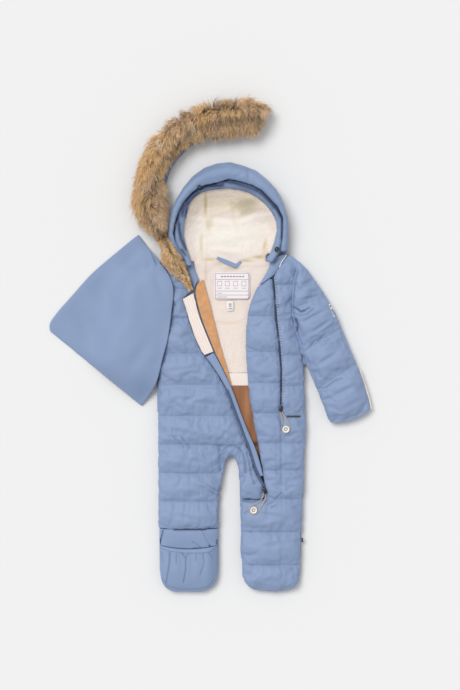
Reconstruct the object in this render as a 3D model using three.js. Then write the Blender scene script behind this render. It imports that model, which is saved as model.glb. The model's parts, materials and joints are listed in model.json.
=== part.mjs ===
// Toddler snowsuit laid flat on its back, opened at the front. Millimetres, +Z up.
// Outlines are drafted on squared paper: x runs right, y runs down from the hood to the feet.
import * as THREE from 'three';

// Driving sizes.
const SQUARE = 2.2; // side of one drafting square
const MID_X = 230; // drafting column of the suit's middle
const FOOT_Y = 591; // drafting row of the foot end
const SEAM_GAP = 0.25; // squares left free on each side of a seam
const BACK_TOP = 12; // inside face of the back wall
const LINING = 2.4; // thickness of a lining layer
const LIFT = 0.4; // air between two layers that lie on each other
const FRONT_UNDER = 15.2; // inside face of the front walls
const SEAM_Z = 12.4; // where front and back walls meet at a side seam
const SEAM_TOP = 17; // top of the front wall at a side seam
const CREST = 35; // top of the front padding
const QUILT_DEPTH = 8; // how far a quilting seam sinks into the padding
const EDGE_ROLL = 20; // width over which an underside rounds up to its side seam
const EDGE_RISE = 7; // height of the back wall's underside at a side seam

// Finishes, one colour per cloth or trim.
const FINISH = {
  shell: { color: 0x93a6c8, roughness: 0.62, metalness: 0 },
  fleece: { color: 0xf6efe4, roughness: 0.95, metalness: 0 },
  velour: { color: 0xc8966b, roughness: 0.85, metalness: 0 },
  velourLow: { color: 0xa06a40, roughness: 0.88, metalness: 0 },
  rib: { color: 0xf0e8e0, roughness: 0.9, metalness: 0 },
  fur: { color: 0xa98a63, roughness: 0.95, metalness: 0 },
  label: { color: 0xe4dedd, roughness: 0.8, metalness: 0 },
  zip: { color: 0x2e2626, roughness: 0.45, metalness: 0.1 },
  metal: { color: 0x3a3a3c, roughness: 0.35, metalness: 0.9 },
  cord: { color: 0xd3bfa6, roughness: 0.9, metalness: 0 },
  charm: { color: 0xf0ebe6, roughness: 0.4, metalness: 0 },
};

const suit = new THREE.Group();
suit.name = 'toddler_snowsuit';
const laid = new THREE.Group();
suit.add(laid);

/** A point of the draft at a height in millimetres. */
function at(x, y, z) {
  return new THREE.Vector3((x - MID_X) * SQUARE, (FOOT_Y - y) * SQUARE, z);
}

/** Value read off a table of [position, value] rows, straight between rows. */
function read(table, position) {
  const last = table.length - 1;
  if (position <= table[0][0]) return table[0][1];
  if (position >= table[last][0]) return table[last][1];
  const row = table.findIndex((entry) => entry[0] >= position);
  const [from, before] = table[row - 1];
  const [to, after] = table[row];
  return THREE.MathUtils.mapLinear(position, from, to, before, after);
}

/** Adds one named closed body, turned so that its faces look outwards. */
function addBody(name, finish, points, faces) {
  let volume = 0;
  const edge = new THREE.Vector3();
  for (const [a, b, c] of faces) {
    volume += points[a].dot(edge.crossVectors(points[b], points[c]));
  }
  const geometry = new THREE.BufferGeometry().setFromPoints(points);
  geometry.setIndex(faces.flatMap(([a, b, c]) => (volume > 0 ? [a, b, c] : [a, c, b])));
  geometry.computeVertexNormals();
  const mesh = new THREE.Mesh(geometry, new THREE.MeshStandardMaterial(FINISH[finish]));
  mesh.name = name;
  laid.add(mesh);
  return mesh;
}

/** A closed wall between two grids of points with the same rows and columns. */
function wall(name, finish, outer, inner) {
  const rows = outer.length;
  const columns = outer[0].length;
  const points = [...outer.flat(), ...inner.flat()];
  const faces = [];
  const under = rows * columns;
  const quad = (a, b, c, d) => faces.push([a, b, c], [a, c, d]);
  for (let i = 0; i + 1 < rows; i++) {
    for (let j = 0; j + 1 < columns; j++) {
      const a = i * columns + j;
      const b = a + columns;
      quad(a, b, b + 1, a + 1);
      quad(under + a, under + a + 1, under + b + 1, under + b);
    }
  }
  for (let i = 0; i + 1 < rows; i++) {
    const a = i * columns;
    const b = a + columns;
    quad(a, under + a, under + b, b);
    quad(b + columns - 1, under + b + columns - 1, under + b - 1, b - 1);
  }
  const end = (rows - 1) * columns;
  for (let j = 0; j + 1 < columns; j++) {
    quad(j + 1, under + j + 1, under + j, j);
    quad(end + j, under + end + j, under + end + j + 1, end + j + 1);
  }
  return addBody(name, finish, points, faces);
}

/** A closed round body through rings of points, with a flat fan at each end. */
function loft(name, finish, rings) {
  const sides = rings[0].length;
  const points = rings.flat();
  const faces = [];
  for (let i = 0; i + 1 < rings.length; i++) {
    for (let j = 0; j < sides; j++) {
      const a = i * sides + j;
      const b = i * sides + ((j + 1) % sides);
      faces.push([a, a + sides, b + sides], [a, b + sides, b]);
    }
  }
  const last = (rings.length - 1) * sides;
  for (let j = 1; j + 1 < sides; j++) {
    faces.push([0, j, j + 1], [last, last + j + 1, last + j]);
  }
  return addBody(name, finish, points, faces);
}

/** Height of a rounded edge at a distance in from it. */
function roll(distance, low, high, width) {
  const t = Math.min(1, Math.max(0, distance / width));
  return low + (high - low) * Math.sqrt(1 - (1 - t) ** 2);
}

// How the top of a wall comes down to each kind of edge: lowest height and rounding width.
const EDGE = {
  side: { low: SEAM_TOP, width: 58 },
  open: { low: 23, width: 36 },
  seam: { low: 28, width: 16 },
  plain: { low: 100, width: 1 },
};

/** Sub-rows between two quilting seams, as shares of the channel. */
const CHANNEL = [0, 0.14, 0.5, 0.86];
/** Columns across a wide and a narrow panel, as shares of the width. */
const WIDE = [0, 0.05, 0.16, 0.38, 0.62, 0.84, 0.95, 1];
const NARROW = [0, 0.12, 0.36, 0.64, 0.88, 1];

/** Rows of a quilted panel from its seams; each seam is [left y, right y]. */
function channelRows(seams, steps = CHANNEL, breaks = []) {
  const rows = [];
  seams.slice(0, -1).forEach(([left, right], index) => {
    const [nextLeft, nextRight] = seams[index + 1];
    const inside = breaks.filter((y) => y > right && y < nextRight);
    const extra = inside.map((y) => (y - right) / (nextRight - right));
    const spaced = steps.filter((share) => extra.every((other) => Math.abs(other - share) > 0.07));
    const shares = [...new Set([0, ...spaced, ...extra])].sort((a, b) => a - b);
    for (const share of shares) {
      rows.push({
        left: THREE.MathUtils.lerp(left, nextLeft, share),
        right: THREE.MathUtils.lerp(right, nextRight, share),
        puff: Math.sqrt(Math.sin(Math.PI * share)),
      });
    }
  });
  const [left, right] = seams[seams.length - 1];
  rows.push({ left, right, puff: 0 });
  return rows;
}

/** Two grids for a quilted front panel between a left and a right edge table. */
function quiltedPanel(name, spec) {
  const rows = channelRows(spec.seams, spec.steps, spec.breaks);
  const outer = [];
  const inner = [];
  const crest = spec.crest ?? CREST;
  const first = rows[0].left;
  const last = rows[rows.length - 1].left;
  rows.forEach((row) => {
    const leftX = read(spec.left, row.left) + SEAM_GAP;
    const rightX = read(spec.right, row.right) - SEAM_GAP;
    const span = (rightX - leftX) * SQUARE;
    const top = [];
    const under = [];
    for (const share of spec.columns) {
      const x = THREE.MathUtils.lerp(leftX, rightX, share);
      const y = THREE.MathUtils.lerp(row.left, row.right, share);
      const fromLeft = share * span;
      const fromRight = (1 - share) * span;
      const ends = [
        [fromLeft, spec.leftEdge],
        [fromRight, spec.rightEdge],
        [(last - y) * SQUARE, spec.footEdge ?? 'plain'],
        [(y - first) * SQUARE, spec.headEdge ?? 'plain'],
      ];
      const height = Math.min(
        crest,
        ...ends.map(([d, kind]) => roll(d, EDGE[kind].low, crest, EDGE[kind].width)),
      );
      const depth = QUILT_DEPTH * (1 - row.puff) * Math.min(1, (height - SEAM_TOP) / 12);
      const sides = ends.filter(([, kind]) => kind === 'side').map(([d]) => d);
      const nearest = Math.min(EDGE_ROLL, ...sides);
      const down = (FRONT_UNDER - SEAM_Z) * (1 - nearest / EDGE_ROLL) ** 2;
      top.push(at(x, y, height - depth));
      under.push(at(x, y, FRONT_UNDER - down));
    }
    outer.push(top);
    inner.push(under);
  });
  return wall(name, 'shell', outer, inner);
}

/** A back wall: flat underneath, rounding up to the seam at the edges named in spec. */
function backPanel(name, spec) {
  const outer = [];
  const inner = [];
  const last = spec.rows[spec.rows.length - 1];
  const first = spec.rows[0];
  for (const y of spec.rows) {
    const leftX = read(spec.left, y) + SEAM_GAP;
    const rightX = read(spec.right, y) - SEAM_GAP;
    const span = (rightX - leftX) * SQUARE;
    const top = [];
    const under = [];
    for (const share of spec.columns) {
      const x = THREE.MathUtils.lerp(leftX, rightX, share);
      const near = [EDGE_ROLL];
      if (spec.roll.includes('left')) near.push(share * span);
      if (spec.roll.includes('right')) near.push((1 - share) * span);
      if (spec.roll.includes('foot')) near.push((last - y) * SQUARE);
      if (spec.roll.includes('head')) near.push((y - first) * SQUARE);
      const rise = EDGE_RISE * (1 - Math.min(...near) / EDGE_ROLL) ** 2;
      top.push(at(x, y, spec.top ?? BACK_TOP));
      under.push(at(x, y, rise));
    }
    outer.push(top);
    inner.push(under);
  }
  return wall(name, 'shell', outer, inner);
}

// Edge tables, each row [y, x].
const SIDE_LEFT = [
  [258, 158], [264, 163.3], [273, 163.7], [283, 165], [295, 167], [305, 168], [315, 168],
  [327, 165.5], [337, 161.5], [345, 159.2], [357, 157.6], [385, 157.4], [420, 157.6],
  [480, 158], [510, 158], [552, 159.4], [570, 160], [578, 160.6], [584, 163], [588, 167],
  [590.6, 174],
];
const SIDE_RIGHT = [
  [253.2, 288.6], [257.4, 293], [262, 297.5], [273, 296.5], [283, 295], [295, 293], [305, 292], [315, 292], [327, 295],
  [337, 299], [345, 301], [357, 302.5], [365, 303.3], [385, 304.6], [430, 305.6],
  [470, 304.2], [498, 303], [540, 301], [575, 300], [582, 298.6], [586, 295], [588.6, 290],
  [590.4, 282],
];
const INSEAM_LEFT = [
  [454, 230.6], [458, 227.4], [465, 224], [475, 222], [485, 221], [500, 219.5], [520, 219],
  [548, 218.5], [570, 218], [578, 217.5], [584, 214.6], [588, 209.5], [590.6, 202],
];
const INSEAM_RIGHT = [
  [454, 231.4], [458, 236], [465, 237.6], [480, 239], [500, 240], [520, 240], [560, 241],
  [575, 242], [582, 244.6], [586.5, 249], [589, 255], [590.4, 262],
];
// Open edge of the wearer's right front, then the edge of its turned-back placket.
const FRONT_LEFT_EDGE = [
  [270, 183], [280, 187.6], [291, 192.2], [299, 182.4], [308, 186], [318, 189], [329, 192],
  [340, 196], [348, 200], [356, 205], [366, 212], [378, 220], [390, 227], [400, 231],
  [412, 235], [422, 239], [433, 243], [444.5, 247.4],
];
const OPEN_EDGE = [
  [286, 258], [298, 252], [308, 249], [316, 247], [330, 246], [345, 245.6], [358, 246],
  [372, 247], [385, 248], [400, 249.4], [412, 252], [425, 254.4], [440, 257], [450, 259],
  [462, 261], [475, 263], [484, 264.6], [499, 264.8],
];
const SIDE_ZIP = [
  [276, 272.5], [290, 274], [320, 276], [343, 279], [370, 281], [405, 280.6], [410, 280.8], [440, 281.6],
  [499, 281.6],
];
// Seam round the crotch gusset, front side.
const GUSSET_LEFT = [[444.5, 222.5], [450, 221], [456, 220.4], [466, 220], [473, 221.6], [476, 222]];
const GUSSET_RIGHT = [
  [446, 240.4], [452, 244.6], [460, 246.4], [470, 247.2], [480, 245], [486, 240.2],
  [499, 240.2],
];
const TAIL_EDGE = [
  [446, 247.4], [452, 250], [465, 253], [475, 257.6], [482, 262], [487, 264.2], [499, 264.4],
];

const SIDE_ZIP_END = 405;

/** The side zip's line moved sideways where the coil lies, and closed below its slider. */
function besideZip(dx) {
  const above = SIDE_ZIP.filter(([y]) => y <= SIDE_ZIP_END).map(([y, x]) => [y, x + dx]);
  return [...above, ...SIDE_ZIP.filter(([y]) => y > SIDE_ZIP_END)];
}

// Back walls.
backPanel('back_torso', {
  rows: [262, 268, 283, 305, 327, 345, 357, 385, 415, 440, 453.4],
  left: SIDE_LEFT,
  right: SIDE_RIGHT,
  columns: WIDE,
  roll: ['left', 'right'],
});
backPanel('back_leg_left', {
  rows: [454, 458, 465, 475, 490, 520, 548, 570, 578, 584, 588, 590.6],
  left: SIDE_LEFT,
  right: INSEAM_LEFT,
  columns: [0, 0.1, 0.24, 0.5, 0.76, 0.9, 1],
  roll: ['left', 'right', 'foot'],
});
backPanel('back_leg_right', {
  rows: [454, 458, 465, 480, 500, 530, 560, 575, 582, 586.5, 589, 590.4],
  left: INSEAM_RIGHT,
  right: SIDE_RIGHT,
  columns: [0, 0.1, 0.24, 0.5, 0.76, 0.9, 1],
  roll: ['left', 'right', 'foot'],
});

// Quilted front walls; seams are [left y, right y].
const frontLeft = quiltedPanel('front_left', {
  seams: [[262, 272], [287, 291.4], [319.5, 318.5], [354.5, 353.5], [385, 384.5], [416, 415.5],
    [444, 444]],
  breaks: [299, 308, 329, 340, 348, 356, 366, 378, 390, 400, 422, 433],
  left: SIDE_LEFT,
  right: FRONT_LEFT_EDGE,
  columns: WIDE,
  leftEdge: 'side',
  rightEdge: 'open',
});
quiltedPanel('front_leg_left', {
  seams: [[444.6, 444.6], [472.5, 473], [501, 501], [527.6, 527.6]],
  left: SIDE_LEFT,
  right: [...GUSSET_LEFT, ...INSEAM_LEFT.slice(4)],
  columns: WIDE,
  leftEdge: 'side',
  rightEdge: 'side',
});
quiltedPanel('front_centre', {
  seams: [[287, 278], [316.5, 316.5], [352, 352], [383, 383], [413, 413], [443, 443],
    [470, 470], [498.2, 498.2]],
  left: OPEN_EDGE,
  right: besideZip(-1.2),
  breaks: [405, 410],
  columns: NARROW,
  leftEdge: 'open',
  rightEdge: 'seam',
});
quiltedPanel('front_right', {
  seams: [[276.6, 253.2], [286, 285], [321, 321], [356, 356], [386, 386], [416, 416], [443, 443],
    [470, 470], [498.2, 498.2]],
  left: besideZip(1.2),
  breaks: [405, 410],
  right: SIDE_RIGHT,
  columns: NARROW,
  leftEdge: 'seam',
  rightEdge: 'side',
});
quiltedPanel('front_left_tail', {
  seams: [[447, 447], [470.5, 470.5], [498.2, 498.2]],
  left: GUSSET_RIGHT,
  right: TAIL_EDGE,
  columns: NARROW,
  leftEdge: 'seam',
  rightEdge: 'open',
  crest: 30,
});
quiltedPanel('front_leg_right', {
  seams: [[498.8, 498.8], [531, 531], [564, 564], [590.4, 590.4]],
  steps: [0, 0.12, 0.32, 0.6, 0.8, 0.92],
  left: INSEAM_RIGHT,
  right: SIDE_RIGHT,
  columns: WIDE,
  leftEdge: 'side',
  rightEdge: 'side',
  footEdge: 'side',
});

/** Rows between pairs of points: each row is { left, right, ... } in squares. */
function strip(name, finish, rows, columns, topOf, underOf) {
  const grid = (heightOf) => rows.map((row, i) => columns.map((share) => {
    const x = THREE.MathUtils.lerp(row.left[0], row.right[0], share);
    const y = THREE.MathUtils.lerp(row.left[1], row.right[1], share);
    return at(x, y, heightOf(row, share, i));
  }));
  return wall(name, finish, grid(topOf), grid(underOf));
}

/** Distance in millimetres between the two ends of a row. */
function rowWidth(row) {
  return Math.hypot(row.right[0] - row.left[0], row.right[1] - row.left[1]) * SQUARE;
}

// Sleeve rows from the shoulder to the cuff: outer edge, inner edge, height of the inner edge.
const SLEEVE = [
  { outer: [299, 261.8], inner: [299, 270], edge: 28, puff: 0.6 },
  { outer: [308, 271], inner: [295.6, 288], edge: 28, puff: 1 },
  { outer: [318, 285], inner: [293.4, 302], edge: 28, puff: 0.7 },
  { outer: [325.6, 296.6], inner: [292.6, 308.6], edge: 28, puff: 0 },
  { outer: [329, 302.6], inner: [293.4, 316], edge: 28, puff: 0.7 },
  { outer: [333.4, 310.6], inner: [297.4, 329], edge: 28, puff: 1 },
  { outer: [338, 320.6], inner: [301, 341], edge: 27, puff: 0.7 },
  { outer: [341, 328], inner: [303.4, 351.6], edge: 24, puff: 0 },
  { outer: [343.4, 333.6], inner: [304.2, 359.4], edge: 17, puff: 0.7 },
  { outer: [348.6, 346.4], inner: [309, 372.2], edge: 17, puff: 1 },
  { outer: [353.6, 358.4], inner: [314, 383], edge: 17, puff: 0.7 },
  { outer: [355.6, 363.6], inner: [316.4, 389], edge: 17, puff: 0 },
  { outer: [358.4, 369], inner: [318.8, 394.4], edge: 17, puff: 0.7 },
  { outer: [364.6, 386.6], inner: [323.4, 406.6], edge: 17, puff: 1 },
  { outer: [368.6, 401], inner: [327.2, 417.2], edge: 17, puff: 0.8 },
  { outer: [369.6, 406], inner: [328.8, 420.4], edge: 17, puff: 0.4, bow: 2.4, cuff: 26 },
  { outer: [370, 409], inner: [330.2, 422.2], edge: 17, puff: 0.4, bow: 4, cuff: 21 },
];
const SLEEVE_COLUMNS = [0, 0.07, 0.24, 0.5, 0.76, 0.93, 1];

/** A sleeve wall; the cuff rows bow outwards. */
function sleeveWall(name, table, heightOf, underOf) {
  const grid = (height) => table.map((row) => SLEEVE_COLUMNS.map((share) => {
    const bow = (row.bow ?? 0) * 4 * share * (1 - share);
    const x = THREE.MathUtils.lerp(row.inner[0], row.outer[0], share) + bow * 0.3;
    const y = THREE.MathUtils.lerp(row.inner[1], row.outer[1], share) + bow;
    const width = Math.hypot(row.outer[0] - row.inner[0], row.outer[1] - row.inner[1]);
    return at(x, y, height(row, share * width * SQUARE, (1 - share) * width * SQUARE));
  }));
  return wall(name, 'shell', grid(heightOf), grid(underOf));
}

/** Top of a sleeve's front wall. */
function sleeveTop(row, fromInner, fromOuter) {
  const inner = roll(fromInner, row.edge, CREST, row.edge > 20 ? 20 : 50);
  const outer = roll(fromOuter, SEAM_TOP, CREST, 50);
  const height = Math.min(inner, outer, row.cuff ?? CREST);
  const depth = QUILT_DEPTH * (1 - Math.sqrt(row.puff)) * Math.min(1, (height - SEAM_TOP) / 12);
  return height - depth;
}

/** Underside of a sleeve's front wall, dropping to the seam at a free edge. */
function sleeveInside(row, fromInner, fromOuter) {
  const near = row.edge > 20 ? fromOuter : Math.min(fromInner, fromOuter);
  const t = 1 - Math.min(1, near / EDGE_ROLL);
  return FRONT_UNDER - (FRONT_UNDER - SEAM_Z) * t * t;
}

/** Underside of a sleeve's back wall, flat with rounded edges. */
function sleeveFloor(row, fromInner, fromOuter) {
  const near = row.edge > 20 ? fromOuter : Math.min(fromInner, fromOuter);
  const t = 1 - Math.min(1, near / EDGE_ROLL);
  return EDGE_RISE * t * t;
}

sleeveWall('sleeve_right_front', SLEEVE, sleeveTop, sleeveInside);
sleeveWall('sleeve_right_back', SLEEVE, () => BACK_TOP, sleeveFloor);

// Left sleeve, folded at the cuff under the neck panel: one rounded pad, grooved at its rim.
const FOLD_ROW = 11;
const ELBOW_ROW = 7;
const FOLDED = SLEEVE.slice(0, FOLD_ROW).map((row, index) => ({
  outer: [2 * MID_X - row.outer[0], row.outer[1] - 1],
  inner: [2 * MID_X - row.inner[0] + (index < ELBOW_ROW ? 1.3 : 0), row.inner[1] - 1],
  rise: index < 2 ? 28 : 33,
}));
const FOLDED_SIDES = 14;
loft('sleeve_left', 'shell', FOLDED.map((row, index) => {
  const end = index === FOLDED.length - 1 ? 0.72 : 1;
  return Array.from({ length: FOLDED_SIDES }, (_, step) => {
    const turn = (2 * Math.PI * step) / FOLDED_SIDES;
    const across = Math.sign(Math.cos(turn)) * Math.abs(Math.cos(turn)) ** 0.6;
    const up = Math.sign(Math.sin(turn)) * Math.abs(Math.sin(turn)) ** 0.7;
    const groove = Math.abs(up) < 0.2 ? 0.95 : 1;
    const share = 0.5 + 0.5 * across * groove;
    const x = THREE.MathUtils.lerp(row.inner[0], row.outer[0], share);
    const y = THREE.MathUtils.lerp(row.inner[1], row.outer[1], share);
    return at(x, y, row.rise * (0.5 + 0.5 * up * end));
  });
}));

// Crotch gusset: a narrow horseshoe between the legs, seam side first.
const GUSSET = [
  { left: [220.6, 467], right: [222.6, 476], up: 20 },
  { left: [220.9, 457], right: [224.2, 466], up: 24 },
  { left: [222.4, 450.4], right: [226.4, 460], up: 26 },
  { left: [226.6, 446.8], right: [228.8, 457], up: 27 },
  { left: [232, 445.4], right: [231.2, 455], up: 27 },
  { left: [237.6, 447], right: [234.6, 457.4], up: 27 },
  { left: [242.6, 452.6], right: [237.2, 464], up: 26 },
  { left: [245.4, 460.4], right: [238.2, 472], up: 24 },
  { left: [246, 470], right: [239.4, 481], up: 21 },
];
strip(
  'crotch_gusset',
  'shell',
  GUSSET,
  [0, 0.3, 0.7, 1],
  (row, share) => SEAM_TOP + (row.up - SEAM_TOP) * Math.sqrt(1 - share * share),
  (row, share) => FRONT_UNDER - (FRONT_UNDER - SEAM_Z) * share,
);

// Left bootie, folded open: a low flap inside and a gathered pocket below it.
const FLAP = [
  { y: 528.2, left: 159.8, right: 218.2, up: 24, sag: 0 },
  { y: 533, left: 159.8, right: 218.2, up: 26, sag: 0.6 },
  { y: 540.4, left: 160, right: 218, up: 24, sag: 2 },
  { y: 546.3, left: 160.4, right: 217.8, up: 22, sag: 3.4 },
].map((row) => ({ ...row, left: [row.left, row.y], right: [row.right, row.y] }));
const FLAP_COLUMNS = [0, 0.1, 0.3, 0.5, 0.7, 0.9, 1];

/** Grid whose rows sag towards the toe in the middle of the foot. */
function saggingGrid(rows, columns, heightOf) {
  return rows.map((row) => columns.map((share, index) => {
    const x = THREE.MathUtils.lerp(row.left[0], row.right[0], share);
    const y = row.y + row.sag * (4 * share * (1 - share) - 0.6);
    return at(x, y, heightOf(row, share, index));
  }));
}

wall(
  'bootie_flap_left',
  'shell',
  saggingGrid(FLAP, FLAP_COLUMNS, (row, share) => (
    roll(Math.min(share, 1 - share) * rowWidth(row), SEAM_TOP, row.up, 30)
  )),
  saggingGrid(FLAP, FLAP_COLUMNS, (row, share) => (
    FRONT_UNDER - (FRONT_UNDER - SEAM_Z) * (2 * share - 1) ** 8
  )),
);
const POCKET = [
  { y: 546.6, left: 160.4, right: 217.8, up: 27, sag: 3.4, pleat: 0 },
  { y: 549.4, left: 159.8, right: 218, up: 31, sag: 3, pleat: 0.5 },
  { y: 556, left: 159.8, right: 218, up: 32, sag: 1.6, pleat: 1 },
  { y: 566, left: 160, right: 218, up: 33, sag: 0.6, pleat: 0.8 },
  { y: 575, left: 160.6, right: 217.6, up: 31, sag: 0, pleat: 0.5 },
  { y: 582, left: 162.4, right: 215.8, up: 27, sag: 0, pleat: 0.2 },
  { y: 587, left: 166.4, right: 211, up: 22, sag: 0, pleat: 0 },
  { y: 590.4, left: 173, right: 203, up: 17, sag: 0, pleat: 0 },
].map((row) => ({ ...row, left: [row.left, row.y], right: [row.right, row.y] }));
const PLEATS = [0, 0.05, 0.13, 0.22, 0.31, 0.39, 0.47, 0.56, 0.64, 0.73, 0.82, 0.91, 1];
const PLEAT_DEPTH = 3.4;
{
  const top = saggingGrid(POCKET, PLEATS, (row, share, index) => {
    const side = Math.min(share, 1 - share) * rowWidth(row);
    const pleat = row.pleat * PLEAT_DEPTH * (index % 2);
    return roll(side, SEAM_TOP, row.up, 32) - pleat * Math.min(1, side / 12);
  });
  const under = saggingGrid(POCKET, PLEATS, (row, share) => {
    const side = Math.min(share, 1 - share) * rowWidth(row);
    const near = Math.min(side, (590.4 - row.y) * SQUARE);
    return FRONT_UNDER - (FRONT_UNDER - SEAM_Z) * (1 - Math.min(1, near / EDGE_ROLL)) ** 2;
  });
  wall('bootie_pocket_left', 'shell', top, under);
}

// Linings lie on the back wall and show through the open front.
const LINING_UNDER = BACK_TOP + LIFT;
const LINING_TOP = LINING_UNDER + LINING;
const LINING_LEFT = [
  [262, 194], [280, 195], [300, 202], [316, 207], [337, 214], [352, 219], [372, 226],
  [386, 228], [405, 236], [420, 241], [440, 250], [458, 255], [470, 258.6], [484, 262],
];
const LINING_RIGHT = [
  [262, 272], [280, 266], [298, 257], [316, 252], [345, 251], [372, 252], [386, 253],
  [405, 256], [420, 259], [440, 263], [458, 266], [470, 267], [484, 268],
];
const LININGS = {
  lining_yoke: { finish: 'fleece', rows: [262.4, 275, 290, 306, 322] },
  lining_chest: { finish: 'fleece', rows: [322.5, 334, 346, 359, 372.6] },
  lining_band: { finish: 'rib', rows: [373, 379, 385.4] },
  lining_lower: { finish: 'velourLow', rows: [385.8, 400, 415, 430, 445, 460, 472, 482] },
};
for (const [name, { finish, rows }] of Object.entries(LININGS)) {
  const across = [0, 0.25, 0.5, 0.75, 1];
  const spans = rows.map((y) => ({
    left: [read(LINING_LEFT, y), y],
    right: [read(LINING_RIGHT, y), y],
  }));
  strip(name, finish, spans, across, () => LINING_TOP, () => LINING_UNDER);
}

// Sewn strips down the open edge of the left front: inner edge, outer edge.
const FACING = [
  { left: [196.6, 285.4], right: [203.6, 279.6] },
  { left: [195.4, 291], right: [206, 290] },
  { left: [196.8, 300], right: [209.4, 301] },
  { left: [200.2, 313], right: [212.6, 315] },
  { left: [204.2, 325], right: [216.6, 330] },
  { left: [209.2, 337], right: [220.2, 345] },
  { left: [214.4, 350.4], right: [224, 357] },
  { left: [219.2, 360], right: [228, 371] },
  { left: [224.8, 372], right: [231.4, 382] },
  { left: [230, 382.6], right: [232.6, 388] },
];
strip(
  'facing_left',
  'velour',
  FACING,
  [0, 0.35, 0.7, 1],
  (row, share) => 22.5 - 5 * share,
  () => FRONT_UNDER + 0.2,
);
const PATCH = [
  { left: [182.8, 299.4], right: [193.8, 293.4] },
  { left: [186.3, 308.6], right: [196, 305] },
  { left: [189.45, 319], right: [199.2, 315] },
  { left: [192.5, 330], right: [202.8, 326.4] },
  { left: [196.45, 340.6], right: [207.6, 338] },
  { left: [200.45, 348.4], right: [212, 347] },
  { left: [204.6, 355], right: [213.4, 351.6] },
];
strip(
  'placket_patch',
  'rib',
  PATCH,
  [0, 0.2, 0.8, 1],
  (row, share) => 24 + 2 * Math.sin(Math.PI * share),
  () => FRONT_UNDER,
);
const PLACKET = [
  { left: [206, 357], right: [213.6, 352.6] },
  { left: [212.6, 365.8], right: [218.6, 360.6] },
  { left: [220.6, 377.6], right: [224.4, 372.8] },
  { left: [227.6, 389.4], right: [230.4, 384.6] },
  { left: [232.6, 403.4], right: [235.6, 398] },
  { left: [236.4, 413.6], right: [239.6, 409.6] },
  { left: [240.6, 424.6], right: [244.4, 422.4] },
  { left: [244.6, 436], right: [248.8, 433] },
  { left: [248, 443.4], right: [253, 442] },
  { left: [250.6, 451.6], right: [257, 452] },
  { left: [254.4, 464.6], right: [260.4, 463.6] },
  { left: [259.4, 475.8], right: [263, 475] },
];
strip(
  'placket_strip',
  'shell',
  PLACKET,
  [0, 0.25, 0.75, 1],
  (row, share) => 23 + 2.5 * Math.sin(Math.PI * share),
  () => FRONT_UNDER,
);

// Hood laid on its back: floor panel, standing brim, inner band and a sloping lining.
// Columns: outer edge, fold between brim and band, opening edge, height, lining reach.
const HOOD = [
  { outer: [180, 261.4], fold: [184.8, 261.2], rim: [190.8, 261.4], up: 36, reach: 8 },
  { outer: [176, 255], fold: [181.4, 254.4], rim: [189.4, 255], up: 37, reach: 10 },
  { outer: [171, 245], fold: [176.4, 244.4], rim: [186, 246], up: 38, reach: 13 },
  { outer: [168, 235], fold: [173.6, 234.8], rim: [184, 236], up: 41, reach: 15 },
  { outer: [169.6, 224], fold: [175, 225], rim: [184.6, 226.4], up: 46, reach: 16 },
  { outer: [171.6, 212], fold: [179, 213.6], rim: [187.4, 215], up: 51, reach: 16 },
  { outer: [176.6, 200.4], fold: [183.4, 204.4], rim: [190.6, 204.4], up: 55, reach: 17 },
  { outer: [184.4, 188], fold: [190.6, 196.2], rim: [196.6, 197.4], up: 58, reach: 19 },
  { outer: [193.6, 177.2], fold: [198, 190.2], rim: [202, 194.4], up: 60, reach: 21 },
  { outer: [205, 169], fold: [206, 187.2], rim: [209, 192.4], up: 61, reach: 23 },
  { outer: [217, 165], fold: [217, 185.4], rim: [218, 191.2], up: 62, reach: 24 },
  { outer: [230, 163.6], fold: [229, 181.6], rim: [227.6, 190.6], up: 62, reach: 24 },
  { outer: [243, 167], fold: [240.6, 184], rim: [237.6, 191.6], up: 61, reach: 24 },
  { outer: [256, 172], fold: [252, 187.2], rim: [247.4, 194.2], up: 60, reach: 23 },
  { outer: [267, 181], fold: [261.6, 192.4], rim: [256.6, 199], up: 59, reach: 21 },
  { outer: [276, 190.6], fold: [270.4, 201.2], rim: [264.6, 205.6], up: 57, reach: 18 },
  { outer: [282.4, 202.4], fold: [277.4, 208.8], rim: [271, 213.2], up: 55, reach: 14 },
  { outer: [287, 217], fold: [282.6, 219.4], rim: [275.4, 222.6], up: 52, reach: 11 },
  { outer: [288.2, 230], fold: [282.6, 230], rim: [276.6, 231], up: 48, reach: 9 },
  { outer: [288, 243], fold: [281.4, 242.4], rim: [274.2, 242], up: 44, reach: 8 },
  { outer: [287.6, 252], fold: [279.6, 252.4], rim: [270, 254], up: 40, reach: 8 },
];
const HOOD_FLOOR = 10;
const HOOD_WALL = 8;

/** A point in from the outer edge of a hood row by a share of the way to the rim. */
function hoodPoint(row, from, to, share, height) {
  const x = THREE.MathUtils.lerp(row[from][0], row[to][0], share);
  const y = THREE.MathUtils.lerp(row[from][1], row[to][1], share);
  return at(x, y, height);
}

/** Grid round the hood; each profile step is [from, to, share, height]. */
function hoodGrid(profileOf, rows = HOOD) {
  return rows.map((row) => profileOf(row).map(([from, to, share, height]) => (
    hoodPoint(row, from, to, share, height)
  )));
}

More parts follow.
